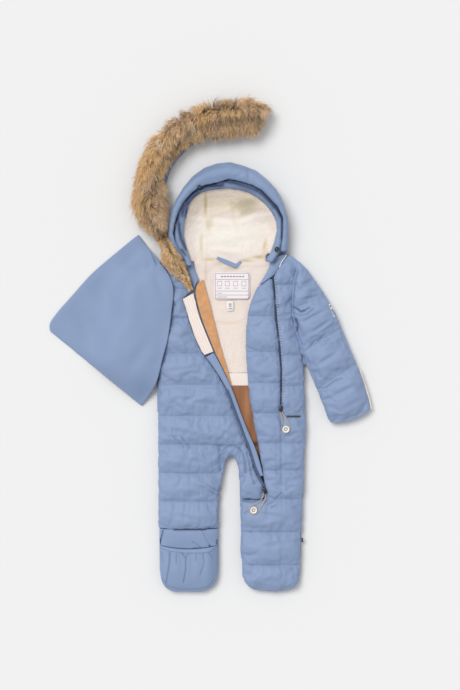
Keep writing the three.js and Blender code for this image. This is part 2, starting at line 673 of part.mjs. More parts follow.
const hoodLeft = HOOD.filter((row) => row.outer[0] < MID_X).map((r) => [r.outer[1], r.outer[0]]);
const hoodRight = HOOD.filter((row) => row.outer[0] > MID_X).map((r) => [r.outer[1], r.outer[0]]);
backPanel('hood_back', {
  rows: [165.6, 168.4, 173, 180, 190, 203, 218, 235, 250, 256.6, 261.4],
  left: [[163.6, 229], ...hoodLeft.sort((a, b) => a[0] - b[0])],
  right: [[163.6, 231], ...hoodRight, [256.6, 291.8], [261.4, 296.6]],
  columns: [0, 0.08, 0.3, 0.5, 0.7, 0.92, 1],
  roll: ['left', 'right', 'head'],
  top: HOOD_FLOOR,
});
wall(
  'hood_brim',
  'shell',
  hoodGrid(({ up }) => [
    ['outer', 'fold', 0.06, HOOD_FLOOR + LIFT],
    ['outer', 'fold', 0, up * 0.42],
    ['outer', 'fold', 0.1, up * 0.74],
    ['outer', 'fold', 0.34, up * 0.95],
    ['outer', 'fold', 0.66, up],
    ['outer', 'fold', 0.985, up - 5],
  ]),
  hoodGrid(({ up }) => [
    ['outer', 'fold', 0.34, HOOD_FLOOR + LIFT],
    ['outer', 'fold', 0.3, up * 0.42],
    ['outer', 'fold', 0.38, up * 0.66],
    ['outer', 'fold', 0.5, up * 0.95 - HOOD_WALL],
    ['outer', 'fold', 0.7, up - HOOD_WALL - 1],
    ['outer', 'fold', 0.985, up - HOOD_WALL - 3],
  ]),
);
// The band runs on past the brim, over the collar.
const BAND = [
  { fold: [186.6, 266.2], rim: [192.2, 266.4], up: 40 },
  ...HOOD,
  { fold: [277, 257.6], rim: [267.8, 257.4], up: 41 },
  { fold: [272.6, 263.6], rim: [266, 260.6], up: 41 },
];
wall(
  'hood_band',
  'shell',
  hoodGrid(({ up }) => [
    ['fold', 'rim', 0.03, up - 6],
    ['fold', 'rim', 0.34, up - 0.5],
    ['fold', 'rim', 0.72, up - 2.5],
    ['fold', 'rim', 1, up - 9],
  ], BAND),
  hoodGrid(({ up }) => [
    ['fold', 'rim', 0.03, up - HOOD_WALL - 3],
    ['fold', 'rim', 0.3, up - HOOD_WALL - 2.5],
    ['fold', 'rim', 0.66, up - HOOD_WALL - 4],
    ['fold', 'rim', 0.86, up - HOOD_WALL - 5],
  ], BAND),
);
// The lining slopes from under the band down to the hood's floor.
const HOOD_MIDDLE = [229, 236];
HOOD.forEach((row) => {
  const dx = HOOD_MIDDLE[0] - row.rim[0];
  const dy = Math.min(0, HOOD_MIDDLE[1] - row.rim[1]) + Math.max(0, HOOD_MIDDLE[1] - row.rim[1]);
  const length = Math.hypot(dx, row.rim[1] > HOOD_MIDDLE[1] ? 0 : dy);
  row.foot = [
    row.rim[0] + (dx / length) * row.reach,
    row.rim[1] + (row.rim[1] > HOOD_MIDDLE[1] ? 0 : (dy / length) * row.reach),
  ];
});
wall(
  'hood_lining_side',
  'fleece',
  hoodGrid(({ up }) => [
    ['rim', 'foot', -0.04, up - 15],
    ['rim', 'foot', 0.12, (up - 15) * 0.78 + 4],
    ['rim', 'foot', 0.34, (up - 15) * 0.5 + 7],
    ['rim', 'foot', 0.64, (up - 15) * 0.22 + 10],
    ['rim', 'foot', 1, HOOD_FLOOR + 4.5],
  ]),
  hoodGrid(({ up }) => [
    ['rim', 'foot', -0.26, up - 19],
    ['rim', 'foot', -0.1, (up - 19) * 0.74],
    ['rim', 'foot', 0.14, (up - 19) * 0.42 + 3],
    ['rim', 'foot', 0.5, (up - 19) * 0.12 + 8],
    ['rim', 'foot', 1, HOOD_FLOOR + LIFT],
  ]),
);
const footLeft = HOOD.filter((row) => row.foot[0] < MID_X).map((r) => [r.foot[1], r.foot[0]]);
const footRight = HOOD.filter((row) => row.foot[0] >= MID_X).map((r) => [r.foot[1], r.foot[0]]);
{
  const left = [...footLeft].sort((a, b) => a[0] - b[0]);
  const right = [...footRight].sort((a, b) => a[0] - b[0]);
  const rows = [217, 221, 228, 236, 245, 254, 261.6].map((y) => ({
    left: [read(left, y) + 0.5, y],
    right: [read(right, y) - 0.5, y],
  }));
  const across = [0, 0.2, 0.5, 0.8, 1];
  const soft = (row, share) => HOOD_FLOOR + 3.4 + 1.4 * Math.sin(Math.PI * share);
  strip('hood_lining_back', 'fleece', rows, across, soft, () => HOOD_FLOOR + LIFT);
}

// Collar pieces between the hood and the fronts.
const COLLARS = {
  collar_left: [
    { left: [184.4, 262.6], right: [192.4, 262.6] },
    { left: [185.6, 268], right: [193.6, 266.6] },
    { left: [188.4, 275.4], right: [196, 273] },
    { left: [191.8, 283], right: [199, 280] },
    { left: [194, 289.4], right: [196.2, 284.2] },
  ],
  collar_right: [
    { left: [269.4, 258], right: [287.4, 254.6] },
    { left: [270, 263], right: [283.3, 261] },
    { left: [268.4, 270], right: [279.1, 267.6] },
    { left: [262.6, 279], right: [275.4, 273.4] },
    { left: [258.6, 285.8], right: [273.4, 275.9] },
  ],
};
for (const [name, rows] of Object.entries(COLLARS)) {
  const top = (row, share) => 20.6 + 3.4 * Math.sin(Math.PI * share);
  strip(name, 'shell', rows, [0, 0.25, 0.75, 1], top, () => FRONT_UNDER);
}

/** Highest surface of the bodies named, near a point of the draft, or null off them. */
const ray = new THREE.Raycaster();
function topOf(names, x, y, reach) {
  laid.updateMatrixWorld(true);
  const bodies = laid.children.filter((body) => names.includes(body.name));
  const offsets = reach ? [-reach, -reach / 2, 0, reach / 2, reach] : [0];
  let best = null;
  for (const dx of offsets) {
    for (const dy of offsets) {
      const origin = at(x + dx, y + dy, 400);
      ray.set(origin, new THREE.Vector3(0, 0, -1));
      const hit = ray.intersectObjects(bodies, false)[0];
      if (hit && (best === null || hit.point.z > best)) best = hit.point.z;
    }
  }
  return best;
}

// Neck panel, spread over the folded sleeve and the side of the left front.
// Rows run from the edge under the fur strip down to the long free edge.
const NECK_PANEL = [
  { left: [138.6, 234.8], right: [166.4, 271] },
  { left: [132, 239.6], right: [173.2, 282] },
  { left: [121, 249], right: [174.4, 293.6] },
  { left: [109.4, 258.4], right: [173, 304] },
  { left: [98.8, 267.4], right: [171.6, 316] },
  { left: [88.8, 276.4], right: [170, 330] },
  { left: [80, 287], right: [167.4, 344] },
  { left: [70, 298], right: [163.4, 357] },
  { left: [61, 308.4], right: [160.4, 371] },
  { left: [52.6, 318.4], right: [157, 384] },
  { left: [49.2, 324.4], right: [148.6, 396.6] },
  { left: [50.2, 331], right: [141.8, 405.8] },
];
const PANEL_COLUMNS = [0, 0.06, 0.17, 0.29, 0.41, 0.53, 0.65, 0.76, 0.87, 0.95, 1];
const PANEL_CLOTH = 3;
const PANEL_REACH = 8;
{
  const under = ['sleeve_left', 'front_left', 'back_torso'];
  const heights = NECK_PANEL.map((row) => PANEL_COLUMNS.map((share) => {
    const x = THREE.MathUtils.lerp(row.left[0], row.right[0], share);
    const y = THREE.MathUtils.lerp(row.left[1], row.right[1], share);
    return (topOf(under, x, y, PANEL_REACH) ?? 0) + 2 * LIFT;
  }));
  // The cloth spans from crest to floor in soft slopes, never below what it lies on.
  const eased = heights.map((row) => [...row]);
  const FALL = 0.42;
  for (let pass = 0; pass < 6; pass++) {
    for (let i = 0; i < eased.length; i++) {
      for (let j = 0; j < eased[i].length; j++) {
        const around = [eased[i - 1]?.[j], eased[i + 1]?.[j], eased[i][j - 1], eased[i][j + 1]];
        const known = around.filter((height) => height !== undefined);
        const mean = known.reduce((sum, height) => sum + height, 0) / known.length;
        eased[i][j] = Math.max(heights[i][j], eased[i][j], mean * (1 - FALL));
      }
    }
  }
  const grid = (lift) => NECK_PANEL.map((row, i) => PANEL_COLUMNS.map((share, j) => {
    const x = THREE.MathUtils.lerp(row.left[0], row.right[0], share);
    const y = THREE.MathUtils.lerp(row.left[1], row.right[1], share);
    const rim = i === 0 || i === NECK_PANEL.length - 1 || j === 0;
    return at(x, y, eased[i][j] + lift * (rim && lift > 0 ? 0.75 : 1));
  }));
  wall('neck_panel', 'shell', grid(PANEL_CLOTH), grid(0));
}

// Fur strip: centre line, width, thickness and height of its underside. Where no height is
// given the strip lies on the suit.
const FUR = [
  { x: 268, y: 116, width: 18, low: 6, thick: 28 },
  { x: 264, y: 116.6, width: 29, low: 1, thick: 43 },
  { x: 252, y: 117, width: 33, low: 0, thick: 50 },
  { x: 238, y: 118, width: 33, low: 0, thick: 52 },
  { x: 224, y: 120, width: 33, low: 0, thick: 52 },
  { x: 210, y: 122, width: 32, low: 0, thick: 52 },
  { x: 197.4, y: 124.6, width: 29, low: 0, thick: 50 },
  { x: 185.8, y: 129.4, width: 26.5, low: 0, thick: 49 },
  { x: 175.6, y: 137.6, width: 25, low: 0, thick: 48 },
  { x: 166.4, y: 146.6, width: 24, low: 0, thick: 48 },
  { x: 158.2, y: 157, width: 23, low: 0, thick: 48 },
  { x: 152.2, y: 168.4, width: 22.5, low: 0, thick: 48 },
  { x: 149.9, y: 181, width: 24.6, low: 0, thick: 49 },
  { x: 150, y: 193, width: 29, low: 0, thick: 50 },
  { x: 150, y: 205, width: 29, low: 1, thick: 51 },
  { x: 152.2, y: 216, width: 23, low: 8, thick: 45 },
  { x: 157.6, y: 226.6, width: 15, low: 25, thick: 32 },
  { x: 162.8, y: 237, width: 10, thick: 21 },
  { x: 167.4, y: 248, width: 10, thick: 19 },
  { x: 171.4, y: 258, width: 15, thick: 19 },
  { x: 178, y: 268.6, width: 12, thick: 15 },
  { x: 185.6, y: 280, width: 7, thick: 10 },
  { x: 191, y: 290.4, width: 3.4, thick: 5 },
];
const FUR_BED = ['hood_brim', 'hood_band', 'neck_panel', 'front_left', 'collar_left'];
for (const row of FUR.filter(({ low }) => low === undefined)) {
  row.low = topOf(FUR_BED, row.x, row.y, row.width / 2) + 2 * LIFT;
}
const FUR_SIDES = 12;
loft('fur_trim', 'fur', FUR.map((row, index) => {
  const before = FUR[Math.max(0, index - 1)];
  const after = FUR[Math.min(FUR.length - 1, index + 1)];
  const run = Math.hypot(after.x - before.x, after.y - before.y);
  const side = [-(after.y - before.y) / run, (after.x - before.x) / run];
  return Array.from({ length: FUR_SIDES }, (_, step) => {
    const turn = (2 * Math.PI * (step + 0.5)) / FUR_SIDES;
    const across = (row.width / 2) * Math.sign(Math.cos(turn)) * Math.abs(Math.cos(turn)) ** 0.85;
    const up = Math.sign(Math.sin(turn)) * Math.abs(Math.sin(turn)) ** 0.7;
    return at(
      row.x + side[0] * across,
      row.y + side[1] * across,
      row.low + 0.5 * row.thick * (1 + up),
    );
  });
}));

/** Cloth or trim lying on the bodies named: every point rests on what is under it. */
function draped(name, finish, rows, columns, under, thickness, reach = 1) {
  const heights = rows.map((row) => columns.map((share) => {
    const x = THREE.MathUtils.lerp(row.left[0], row.right[0], share);
    const y = THREE.MathUtils.lerp(row.left[1], row.right[1], share);
    return (topOf(under, x, y, reach) ?? 0) + LIFT;
  }));
  const height = (lift) => (row, share, i) => heights[i][columns.indexOf(share)] + lift;
  strip(name, finish, rows, columns, height(thickness), height(0));
}

/** A round or boxy button built of stacked rings; each layer is [height, half x, half y]. */
function button(name, finish, x, y, base, layers, sides, square = 1) {
  const bulge = (value) => Math.sign(value) * Math.abs(value) ** square;
  loft(name, finish, layers.map(([height, halfX, halfY]) => (
    Array.from({ length: sides }, (_, step) => {
      const turn = (2 * Math.PI * (step + 0.5)) / sides;
      return new THREE.Vector3(
        halfX * bulge(Math.cos(turn)),
        halfY * bulge(Math.sin(turn)),
        base + height,
      ).add(at(x, y, 0));
    })
  )));
}

// Zips: a coil lying in each opening, from the neck end down to its slider.
const ZIP_HALF = 0.95;
const ZIP_SIDE_ROWS = [277.6, 284, 292, 304, 316, 330, 343, 356, 370, 384, 395, 404];
strip(
  'zip_side',
  'zip',
  ZIP_SIDE_ROWS.map((y) => ({
    left: [read(SIDE_ZIP, y) - ZIP_HALF, y],
    right: [read(SIDE_ZIP, y) + ZIP_HALF, y],
  })),
  [0, 0.5, 1],
  (row, share) => 24.6 + 1.4 * Math.sin(Math.PI * share),
  () => FRONT_UNDER + 1,
);
draped(
  'zip_front',
  'zip',
  [...PLACKET.slice(3).map((row) => row.left), [262.8, 482.4], [264.4, 486.4]].map(([x, y]) => ({
    left: [x - 1.3, y + 0.4],
    right: [x + 0.5, y - 0.3],
  })),
  [0, 0.5, 1],
  ['front_left', 'placket_strip', 'front_left_tail', 'front_centre', 'crotch_gusset'],
  1.6,
  1.4,
);

// Sliders with a looped pull cord and a round charm on each.
const SLIDER = [[0, 3, 4.6], [0.8, 4.2, 6], [3.4, 4.2, 6], [4.6, 3.2, 4.8]];
const CHARM = [[0, 7, 7], [0.9, 7.9, 7.9], [3, 7.9, 7.9], [3.9, 7, 7]];
const CORD_RADIUS = 0.95;
const CORD_SIDES = 8;
const CORD_STEPS = 26;
const PULLS = {
  side: {
    slider: [280.4, 408],
    charm: [285.4, 428.4],
    route: [[279.6, 411.4], [280.2, 416], [281, 421], [282.4, 425.4], [284.6, 428.8],
      [287.6, 429.6], [289.6, 427], [289, 423], [286, 417.6], [283, 413.6], [281.6, 411.4]],
    under: ['front_centre', 'front_right', 'zip_side'],
  },
  front: {
    slider: [264.6, 489.4],
    charm: [253.4, 508.6],
    route: [[263, 492.4], [260.4, 495.4], [256.6, 499], [252.6, 502.8], [249.8, 506.6],
      [250, 510], [253, 511.6], [256.4, 510], [259.4, 505], [262.4, 499], [264.8, 492.8]],
    under: ['front_centre', 'front_left_tail', 'front_leg_right', 'zip_front'],
  },
};
for (const [name, pull] of Object.entries(PULLS)) {
  const [sliderX, sliderY] = pull.slider;
  const seat = topOf(pull.under, sliderX, sliderY, 1.8);
  button(`slider_${name}`, 'metal', sliderX, sliderY, seat + LIFT, SLIDER, 12, 0.6);
  const knots = pull.route.map(([x, y]) => {
    const floor = topOf(pull.under, x, y, 1.5);
    return at(x, y, floor + CORD_RADIUS + LIFT);
  });
  const curve = new THREE.CatmullRomCurve3(knots);
  const line = curve.getSpacedPoints(CORD_STEPS);
  const frames = curve.computeFrenetFrames(CORD_STEPS);
  loft(`pull_cord_${name}`, 'cord', line.map((point, i) => (
    Array.from({ length: CORD_SIDES }, (_, step) => {
      const turn = (2 * Math.PI * step) / CORD_SIDES;
      return point.clone()
        .addScaledVector(frames.normals[i], CORD_RADIUS * Math.cos(turn))
        .addScaledVector(frames.binormals[i], CORD_RADIUS * Math.sin(turn));
    })
  )));
  const [charmX, charmY] = pull.charm;
  const near = line.filter((point) => point.distanceTo(at(charmX, charmY, point.z)) < 11);
  const rest = Math.max(
    topOf(pull.under, charmX, charmY, 3.8),
    ...near.map((point) => point.z + CORD_RADIUS),
  );
  button(`charm_${name}`, 'charm', charmX, charmY, rest + LIFT, CHARM, 18);
}

// Snaps on the hood's edge and on the fur strip's tape.
draped(
  'fur_tape',
  'shell',
  [
    { left: [196, 135], right: [199.2, 140.2] },
    { left: [189.8, 137], right: [194.4, 143.4] },
    { left: [180.2, 142.9], right: [187, 150.2] },
    { left: [171.3, 151.1], right: [179.2, 157.6] },
    { left: [163.4, 160.4], right: [173.4, 165.8] },
    { left: [158, 170.5], right: [169, 173.4] },
    { left: [157.6, 181.8], right: [166.8, 182.4] },
    { left: [159, 190.6], right: [165.4, 190.6] },
  ],
  [0, 0.5, 1],
  ['back_torso'],
  2,
  0,
);
const SNAP = [[0, 5, 5], [0.6, 5.6, 5.6], [1.6, 5.2, 5.2], [2.2, 4, 4]];
const SNAPS = {
  hood_snap_left: { spot: [199.6, 189.2], under: ['hood_brim', 'hood_band'], scale: 0.75 },
  hood_snap_right: { spot: [276.4, 250.4], under: ['hood_brim', 'hood_band', 'collar_right'] },
  tape_snap_top: { spot: [182.9, 150.8], under: ['fur_tape'], scale: 0.62 },
  tape_snap_low: { spot: [165.3, 186.4], under: ['fur_tape'], scale: 0.62 },
};
for (const [name, { spot, under, scale = 1 }] of Object.entries(SNAPS)) {
  const [x, y] = spot;
  const seat = topOf(under, x, y, 2.2 * scale);
  const layers = SNAP.map(([height, halfX, halfY]) => [height, halfX * scale, halfY * scale]);
  button(name, 'metal', x, y, seat + LIFT, layers, 14);
}

// Label, tag and hanging loop on the lining.
const LABEL_ROWS = [
  { left: [214.4, 272.4], right: [249.4, 272.8] },
  { left: [214.2, 286], right: [249.8, 286.2] },
  { left: [214.6, 299.8], right: [249.6, 299.4] },
];
draped('label', 'label', LABEL_ROWS, [0, 0.5, 1], ['lining_yoke'], 1.2);
const TAG_ROWS = [
  { left: [226.4, 301], right: [233.8, 301] },
  { left: [226.6, 311.4], right: [233.8, 311.2] },
];
draped('size_tag', 'label', TAG_ROWS, [0, 1], ['lining_yoke'], 1.1);
const LOOP = [
  { left: [216.2, 259.4], right: [217.8, 256.8] },
  { left: [222, 262.8], right: [224, 259.2] },
  { left: [229, 266.2], right: [231, 261.8] },
  { left: [235.8, 268.4], right: [235.6, 264] },
  { left: [238.8, 266.2], right: [237.6, 263] },
  { left: [242, 262.6], right: [240, 261] },
];
draped('hanger_loop', 'shell', LOOP, [0, 1], ['lining_yoke', 'hood_lining_back'], 1.5, 2);

// Pocket welt, side tab, sleeve patch and the lining edge that peeps out of the sleeve.
const WELT = [286, 289, 292.6, 296, 300].map((x) => ({ left: [x, 416.6], right: [x, 415.2] }));
draped('pocket_welt', 'zip', WELT, [0, 1], ['front_right'], 1.2, 0.8);
const TAB_ROWS = [
  { left: [301.1, 537], right: [302.8, 537] },
  { left: [301.1, 541.4], right: [302.8, 541.4] },
];
strip('side_tab', 'zip', TAB_ROWS, [0, 1], () => 15.4, () => 12.8);
const PATCH_ROWS = [
  { left: [327.9, 304.5], right: [329.8, 303.8] },
  { left: [330.6, 310.9], right: [332.6, 310.2] },
  { left: [333.4, 317.5], right: [335.4, 316.8] },
];
draped('sleeve_patch', 'label', PATCH_ROWS, [0, 0.5, 1], ['sleeve_right_front'], 1.1, 0.5);
const CUFF_EDGE = SLEEVE.slice(12).map(({ outer }) => ({
  left: [outer[0] + 0.3, outer[1] + 0.4],
  right: [outer[0] + 1.4, outer[1]],
}));
strip('sleeve_edge', 'rib', CUFF_EDGE, [0, 1], () => 15.4, () => 9.4);

// The origin is the middle of the footprint, on the table.
laid.updateMatrixWorld(true);
const bounds = new THREE.Box3().setFromObject(laid);
const middle = bounds.getCenter(new THREE.Vector3());
laid.position.set(-middle.x, -middle.y, -bounds.min.z);

export default suit;
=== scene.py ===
"""Looks of a padded toddler snowsuit laid flat: quilted shell, fleece, velour, fur and trims."""

from __future__ import annotations

import json
import logging
import math
import random
from collections.abc import Iterable, Sequence
from dataclasses import dataclass, field
from enum import Enum

import bmesh
import bpy
import numpy as np
from mathutils import Matrix, Vector, noise
from mathutils.bvhtree import BVHTree

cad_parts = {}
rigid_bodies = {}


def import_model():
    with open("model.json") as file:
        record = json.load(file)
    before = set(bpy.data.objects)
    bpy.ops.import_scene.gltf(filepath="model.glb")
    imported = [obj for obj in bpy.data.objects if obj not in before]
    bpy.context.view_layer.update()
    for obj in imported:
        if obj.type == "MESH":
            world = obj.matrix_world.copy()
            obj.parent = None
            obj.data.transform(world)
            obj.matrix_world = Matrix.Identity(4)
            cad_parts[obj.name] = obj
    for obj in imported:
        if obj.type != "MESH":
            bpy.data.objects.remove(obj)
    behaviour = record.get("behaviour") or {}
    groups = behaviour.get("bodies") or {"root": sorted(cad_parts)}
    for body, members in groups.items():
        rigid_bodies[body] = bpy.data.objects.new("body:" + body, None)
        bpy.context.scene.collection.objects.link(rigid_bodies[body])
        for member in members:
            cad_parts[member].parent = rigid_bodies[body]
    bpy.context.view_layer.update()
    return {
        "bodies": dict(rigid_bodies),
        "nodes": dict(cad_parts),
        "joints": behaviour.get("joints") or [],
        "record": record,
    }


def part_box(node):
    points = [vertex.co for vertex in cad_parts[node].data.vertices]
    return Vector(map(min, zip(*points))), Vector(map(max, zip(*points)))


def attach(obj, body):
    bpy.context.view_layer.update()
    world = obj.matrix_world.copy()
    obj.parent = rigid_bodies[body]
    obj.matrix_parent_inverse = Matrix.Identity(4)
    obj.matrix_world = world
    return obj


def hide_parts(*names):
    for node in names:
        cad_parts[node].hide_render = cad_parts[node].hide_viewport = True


LOG = logging.getLogger("snowsuit")
SQUARE = 0.0022
MID_X = 230.0
FOOT_Y = 591.0
PANEL_LEFT = 49.2
LEG_FOOT = 590.6
SEED = 11
# Height in metres from which rays look for a surface.
RAY_START = 1.0

Point = tuple[float, float]
Color = tuple[float, float, float]


class Cloth(Enum):
    """The cloths and trims of the suit, by record slot."""

    SHELL = "shell_cloth"
    FLEECE = "fleece"
    RIB = "rib_knit"
    VELOUR = "velour"
    FUR = "fur"
    LABEL = "label_cloth"
    ZIP = "zip_coil"
    METAL = "dark_metal"
    CORD = "cord"
    CHARM = "charm"


@dataclass(frozen=True)
class Draft:
    """Turns drafting squares into metres of the row frame."""

    shift_x: float
    shift_y: float

    @classmethod
    def from_frame(cls) -> Draft:
        """Finds where the draft lies from two CAD boxes.

        Returns:
            The draft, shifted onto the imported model.
        """
        panel_low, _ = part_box("neck_panel")
        leg_low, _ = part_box("back_leg_left")
        return cls(
            panel_low[0] - (PANEL_LEFT - MID_X) * SQUARE,
            leg_low[1] - (FOOT_Y - LEG_FOOT) * SQUARE,
        )

    def at(self, x: float, y: float, z: float = 0.0) -> Vector:
        """Places a point of the draft.

        Args:
            x: Column, in squares.
            y: Row, in squares, down from the hood.
            z: Height in metres.

        Returns:
            The point in the row frame.
        """
        return Vector(
            ((x - MID_X) * SQUARE + self.shift_x, (FOOT_Y - y) * SQUARE + self.shift_y, z)
        )

    def many(self, points: Iterable[Point]) -> np.ndarray:
        """Places several points of the draft as an array of x and y."""
        return np.array([self.at(x, y).to_2d()[:] for x, y in points], float)


# Finishes


class Nodes:
    """Short way to wire a node tree."""

    def __init__(self, tree: bpy.types.NodeTree) -> None:
        """Keeps the tree.

        Args:
            tree: The node tree to add to.
        """
        self.tree = tree

    def add(self, kind: str, **sockets: object) -> bpy.types.Node:
        """Adds a node and sets its inputs.

        Args:
            kind: Blender's node type.
            **sockets: Input names, with underscores for spaces, and values or sockets.

        Returns:
            The new node.
        """
        node = self.tree.nodes.new(kind)
        for key, value in sockets.items():
            name = key.replace("_", " ")
            socket = next(s for s in node.inputs if s.name.lower() == name.lower() and s.enabled)
            if isinstance(value, bpy.types.NodeSocket):
                self.tree.links.new(value, socket)
            else:
                socket.default_value = value
        return node

    def ramp(
        self, source: bpy.types.NodeSocket, stops: Sequence[tuple[float, Color]]
    ) -> bpy.types.NodeSocket:
        """Maps a value to colours.

        Args:
            source: The value from 0 to 1.
            stops: Positions and colours, in order.

        Returns:
            The colour socket.
        """
        node = self.add("ShaderNodeValToRGB", Fac=source)
        elements = node.color_ramp.elements
        while len(elements) < len(stops):
            elements.new(0.5)
        for element, (position, color) in zip(elements, stops):
            element.position = position
            element.color = (*color, 1.0)
        return node.outputs["Color"]


@dataclass(frozen=True)
class Finish:
    """A cloth or trim surface.

    Attributes:
        name: Material name.
        color: Linear base colour.
        dark: Colour of its darker patches.
        roughness: Roughness.
        metallic: Metalness.
        sheen: Soft edge light of napped cloth.
        grain: Size in metres of the surface grain.
        bump: Strength of the grain.
        mottle: Size in metres of the colour patches.
        spread: How much of the darker colour shows.
        attribute: Vertex colour that replaces the base colour, if any.
    """

    name: str
    color: Color
    dark: Color
    roughness: float = 0.7
    metallic: float = 0.0
    sheen: float = 0.0
    grain: float = 0.0009
    bump: float = 0.12
    mottle: float = 0.05
    spread: float = 0.35
    attribute: str = ""

    def build(self) -> bpy.types.Material:
        """Makes the material.

        Returns:
            The material.
        """
        material = bpy.data.materials.new(self.name)
        material.use_nodes = True
        nodes = Nodes(material.node_tree)
        shader = material.node_tree.nodes["Principled BSDF"]
        shader.inputs["Roughness"].default_value = self.roughness
        shader.inputs["Metallic"].default_value = self.metallic
        shader.inputs["Sheen Weight"].default_value = self.sheen
        shader.inputs["Sheen Roughness"].default_value = 0.5
        place = nodes.add("ShaderNodeTexCoord").outputs["Object"]
        patches = nodes.add(
            "ShaderNodeTexNoise", Vector=place, Scale=1.0 / self.mottle, Detail=3.0
        ).outputs["Fac"]
        low, high = 0.5 - self.spread, 0.5 + self.spread
        color = nodes.ramp(patches, [(low, self.dark), (high, self.color)])
        if self.attribute:
            color = nodes.add("ShaderNodeAttribute").outputs["Color"]
            color.node.attribute_name = self.attribute
        nodes.tree.links.new(color, shader.inputs["Base Color"])
        if self.bump:
            grain = nodes.add(
                "ShaderNodeTexNoise", Vector=place, Scale=1.0 / self.grain, Detail=2.0
            ).outputs["Fac"]
            bump = nodes.add("ShaderNodeBump", Height=grain, Strength=self.bump)
            bump.inputs["Distance"].default_value = self.grain
            nodes.tree.links.new(bump.outputs["Normal"], shader.inputs["Normal"])
        return material


SHELL_BLUE: Color = (0.212, 0.29, 0.455)
SKIN_BLUE: Color = (0.217, 0.295, 0.464)
# Colour of the painted shadows at the bottoms of the padded skins' cuts.
FOLD_SHADOW_BLUE: Color = (0.085, 0.135, 0.26)
FINISHES = {
    Cloth.SHELL: Finish("shell", (0.225, 0.305, 0.477), (0.206, 0.283, 0.450), 0.62, sheen=0.12),
    Cloth.FLEECE: Finish(
        "fleece", (0.83, 0.75, 0.685), (0.77, 0.69, 0.615), 0.95, sheen=0.3,
        grain=0.0022, bump=0.6, attribute="tint",
    ),
    Cloth.RIB: Finish("rib", (0.86, 0.775, 0.72), (0.80, 0.70, 0.64), 0.9, sheen=0.2),
    Cloth.VELOUR: Finish(
        "velour", (0.72, 0.385, 0.175), (0.50, 0.235, 0.095), 0.8, sheen=0.5, mottle=0.012
    ),
    Cloth.FUR: Finish(
        "fur", (0.3, 0.2, 0.1), (0.1, 0.06, 0.04), 0.75, sheen=0.1, bump=0.0, attribute="tint"
    ),
    Cloth.LABEL: Finish("label", (0.83, 0.78, 0.785), (0.80, 0.75, 0.755), 0.7),
    Cloth.ZIP: Finish("zip", (0.045, 0.04, 0.045), (0.03, 0.026, 0.03), 0.45, bump=0.05),
    Cloth.METAL: Finish("metal", (0.07, 0.068, 0.07), (0.05, 0.05, 0.052), 0.35, 0.9, bump=0.02),
    Cloth.CORD: Finish("cord", (0.60, 0.48, 0.36), (0.42, 0.32, 0.22), 0.9, mottle=0.0012),
    Cloth.CHARM: Finish("charm", (0.78, 0.75, 0.71), (0.76, 0.73, 0.69), 0.35, bump=0.0),
}
EXTRA_FINISHES = (
    Finish("shell_flat", SHELL_BLUE, (0.20, 0.276, 0.438), 0.62, sheen=0.1),
    Finish("zip_blue", (0.40, 0.46, 0.60), (0.36, 0.42, 0.56), 0.4, bump=0.0),
    # Zip blue darkened by painted shade, for the front zip deep in the opening and the ribbon
    # under the side zip's teeth.
    Finish("zip_deep", (0.085, 0.13, 0.24), (0.07, 0.11, 0.20), 0.6, bump=0.0),
    Finish("zip_shade", (0.035, 0.05, 0.10), (0.03, 0.04, 0.08), 0.7, bump=0.0),
    # Shell blue read from the tint, with painted shade and painted fold shadows.
    Finish(
        "shell_painted_shade", (0.2, 0.27, 0.43), (0.2, 0.27, 0.43), 0.62, sheen=0.1, attribute="tint"
    ),
    # Brown velour read from the tint: the lining's streaks and patches, and painted shadow deep in
    # the opening.
    Finish(
        "velour_low", (0.36, 0.155, 0.062), (0.36, 0.155, 0.062), 0.85, sheen=0.3,
        grain=0.0024, bump=0.4, attribute="tint",
    ),
    Finish("shell_thread", (0.20, 0.275, 0.44), (0.18, 0.25, 0.41), 0.7, bump=0.0),
    Finish("zip_teeth", (0.07, 0.065, 0.07), (0.05, 0.046, 0.05), 0.35, bump=0.0),
    Finish("label_ink", (0.34, 0.28, 0.37), (0.30, 0.25, 0.33), 0.8, bump=0.0),
    Finish("charm_ink", (0.08, 0.07, 0.07), (0.06, 0.05, 0.05), 0.6, bump=0.0),
)


class Wardrobe:
    """Every material of the suit, made once."""

    def __init__(self) -> None:
        """Builds the materials."""
        self.of = {cloth: finish.build() for cloth, finish in FINISHES.items()}
        self.extra = {finish.name: finish.build() for finish in EXTRA_FINISHES}

    def dress(self, obj: bpy.types.Object, cloth: Cloth, extra: str = "") -> None:
        """Gives a piece its material and body.

        Args:
            obj: The piece.
            cloth: Its cloth.
            extra: Name of a variant material, if it isn't the plain one.
        """
        obj.data.materials.clear()
        obj.data.materials.append(self.extra[extra] if extra else self.of[cloth])
        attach(obj, "root")


# Mesh helpers

WELD = 2e-5
# Edges sharper than this keep some of their sharpness when a piece is rounded.
HARD_EDGE = math.radians(40)
EDGE_CREASE = 0.45


def make_object(name: str, mesh: bpy.types.Mesh) -> bpy.types.Object:
    """Links a mesh to the scene as a smooth-shaded object.

    Args:
        name: Object name.
        mesh: Its mesh.

    Returns:
        The object.
    """
    obj = bpy.data.objects.new(name, mesh)
    bpy.context.scene.collection.objects.link(obj)
    mesh.polygons.foreach_set("use_smooth", [True] * len(mesh.polygons))
    return obj


def from_bmesh(name: str, bm: bmesh.types.BMesh) -> bpy.types.Object:
    """Turns a bmesh into an object and frees it.

    Args:
        name: Object name.
        bm: The bmesh.

    Returns:
        The object.
    """
    bmesh.ops.recalc_face_normals(bm, faces=bm.faces)
    mesh = bpy.data.meshes.new(name)
    bm.to_mesh(mesh)
    bm.free()
    return make_object(name, mesh)


def absorb(whole: bmesh.types.BMesh, part: bmesh.types.BMesh) -> None:
    """Moves one body into another bmesh.

    Args:
        whole: The bmesh that grows.
        part: The body, which is freed.
    """
    mesh = bpy.data.meshes.new("part")
    part.to_mesh(mesh)
    part.free()
    whole.from_mesh(mesh)
    bpy.data.meshes.remove(mesh)


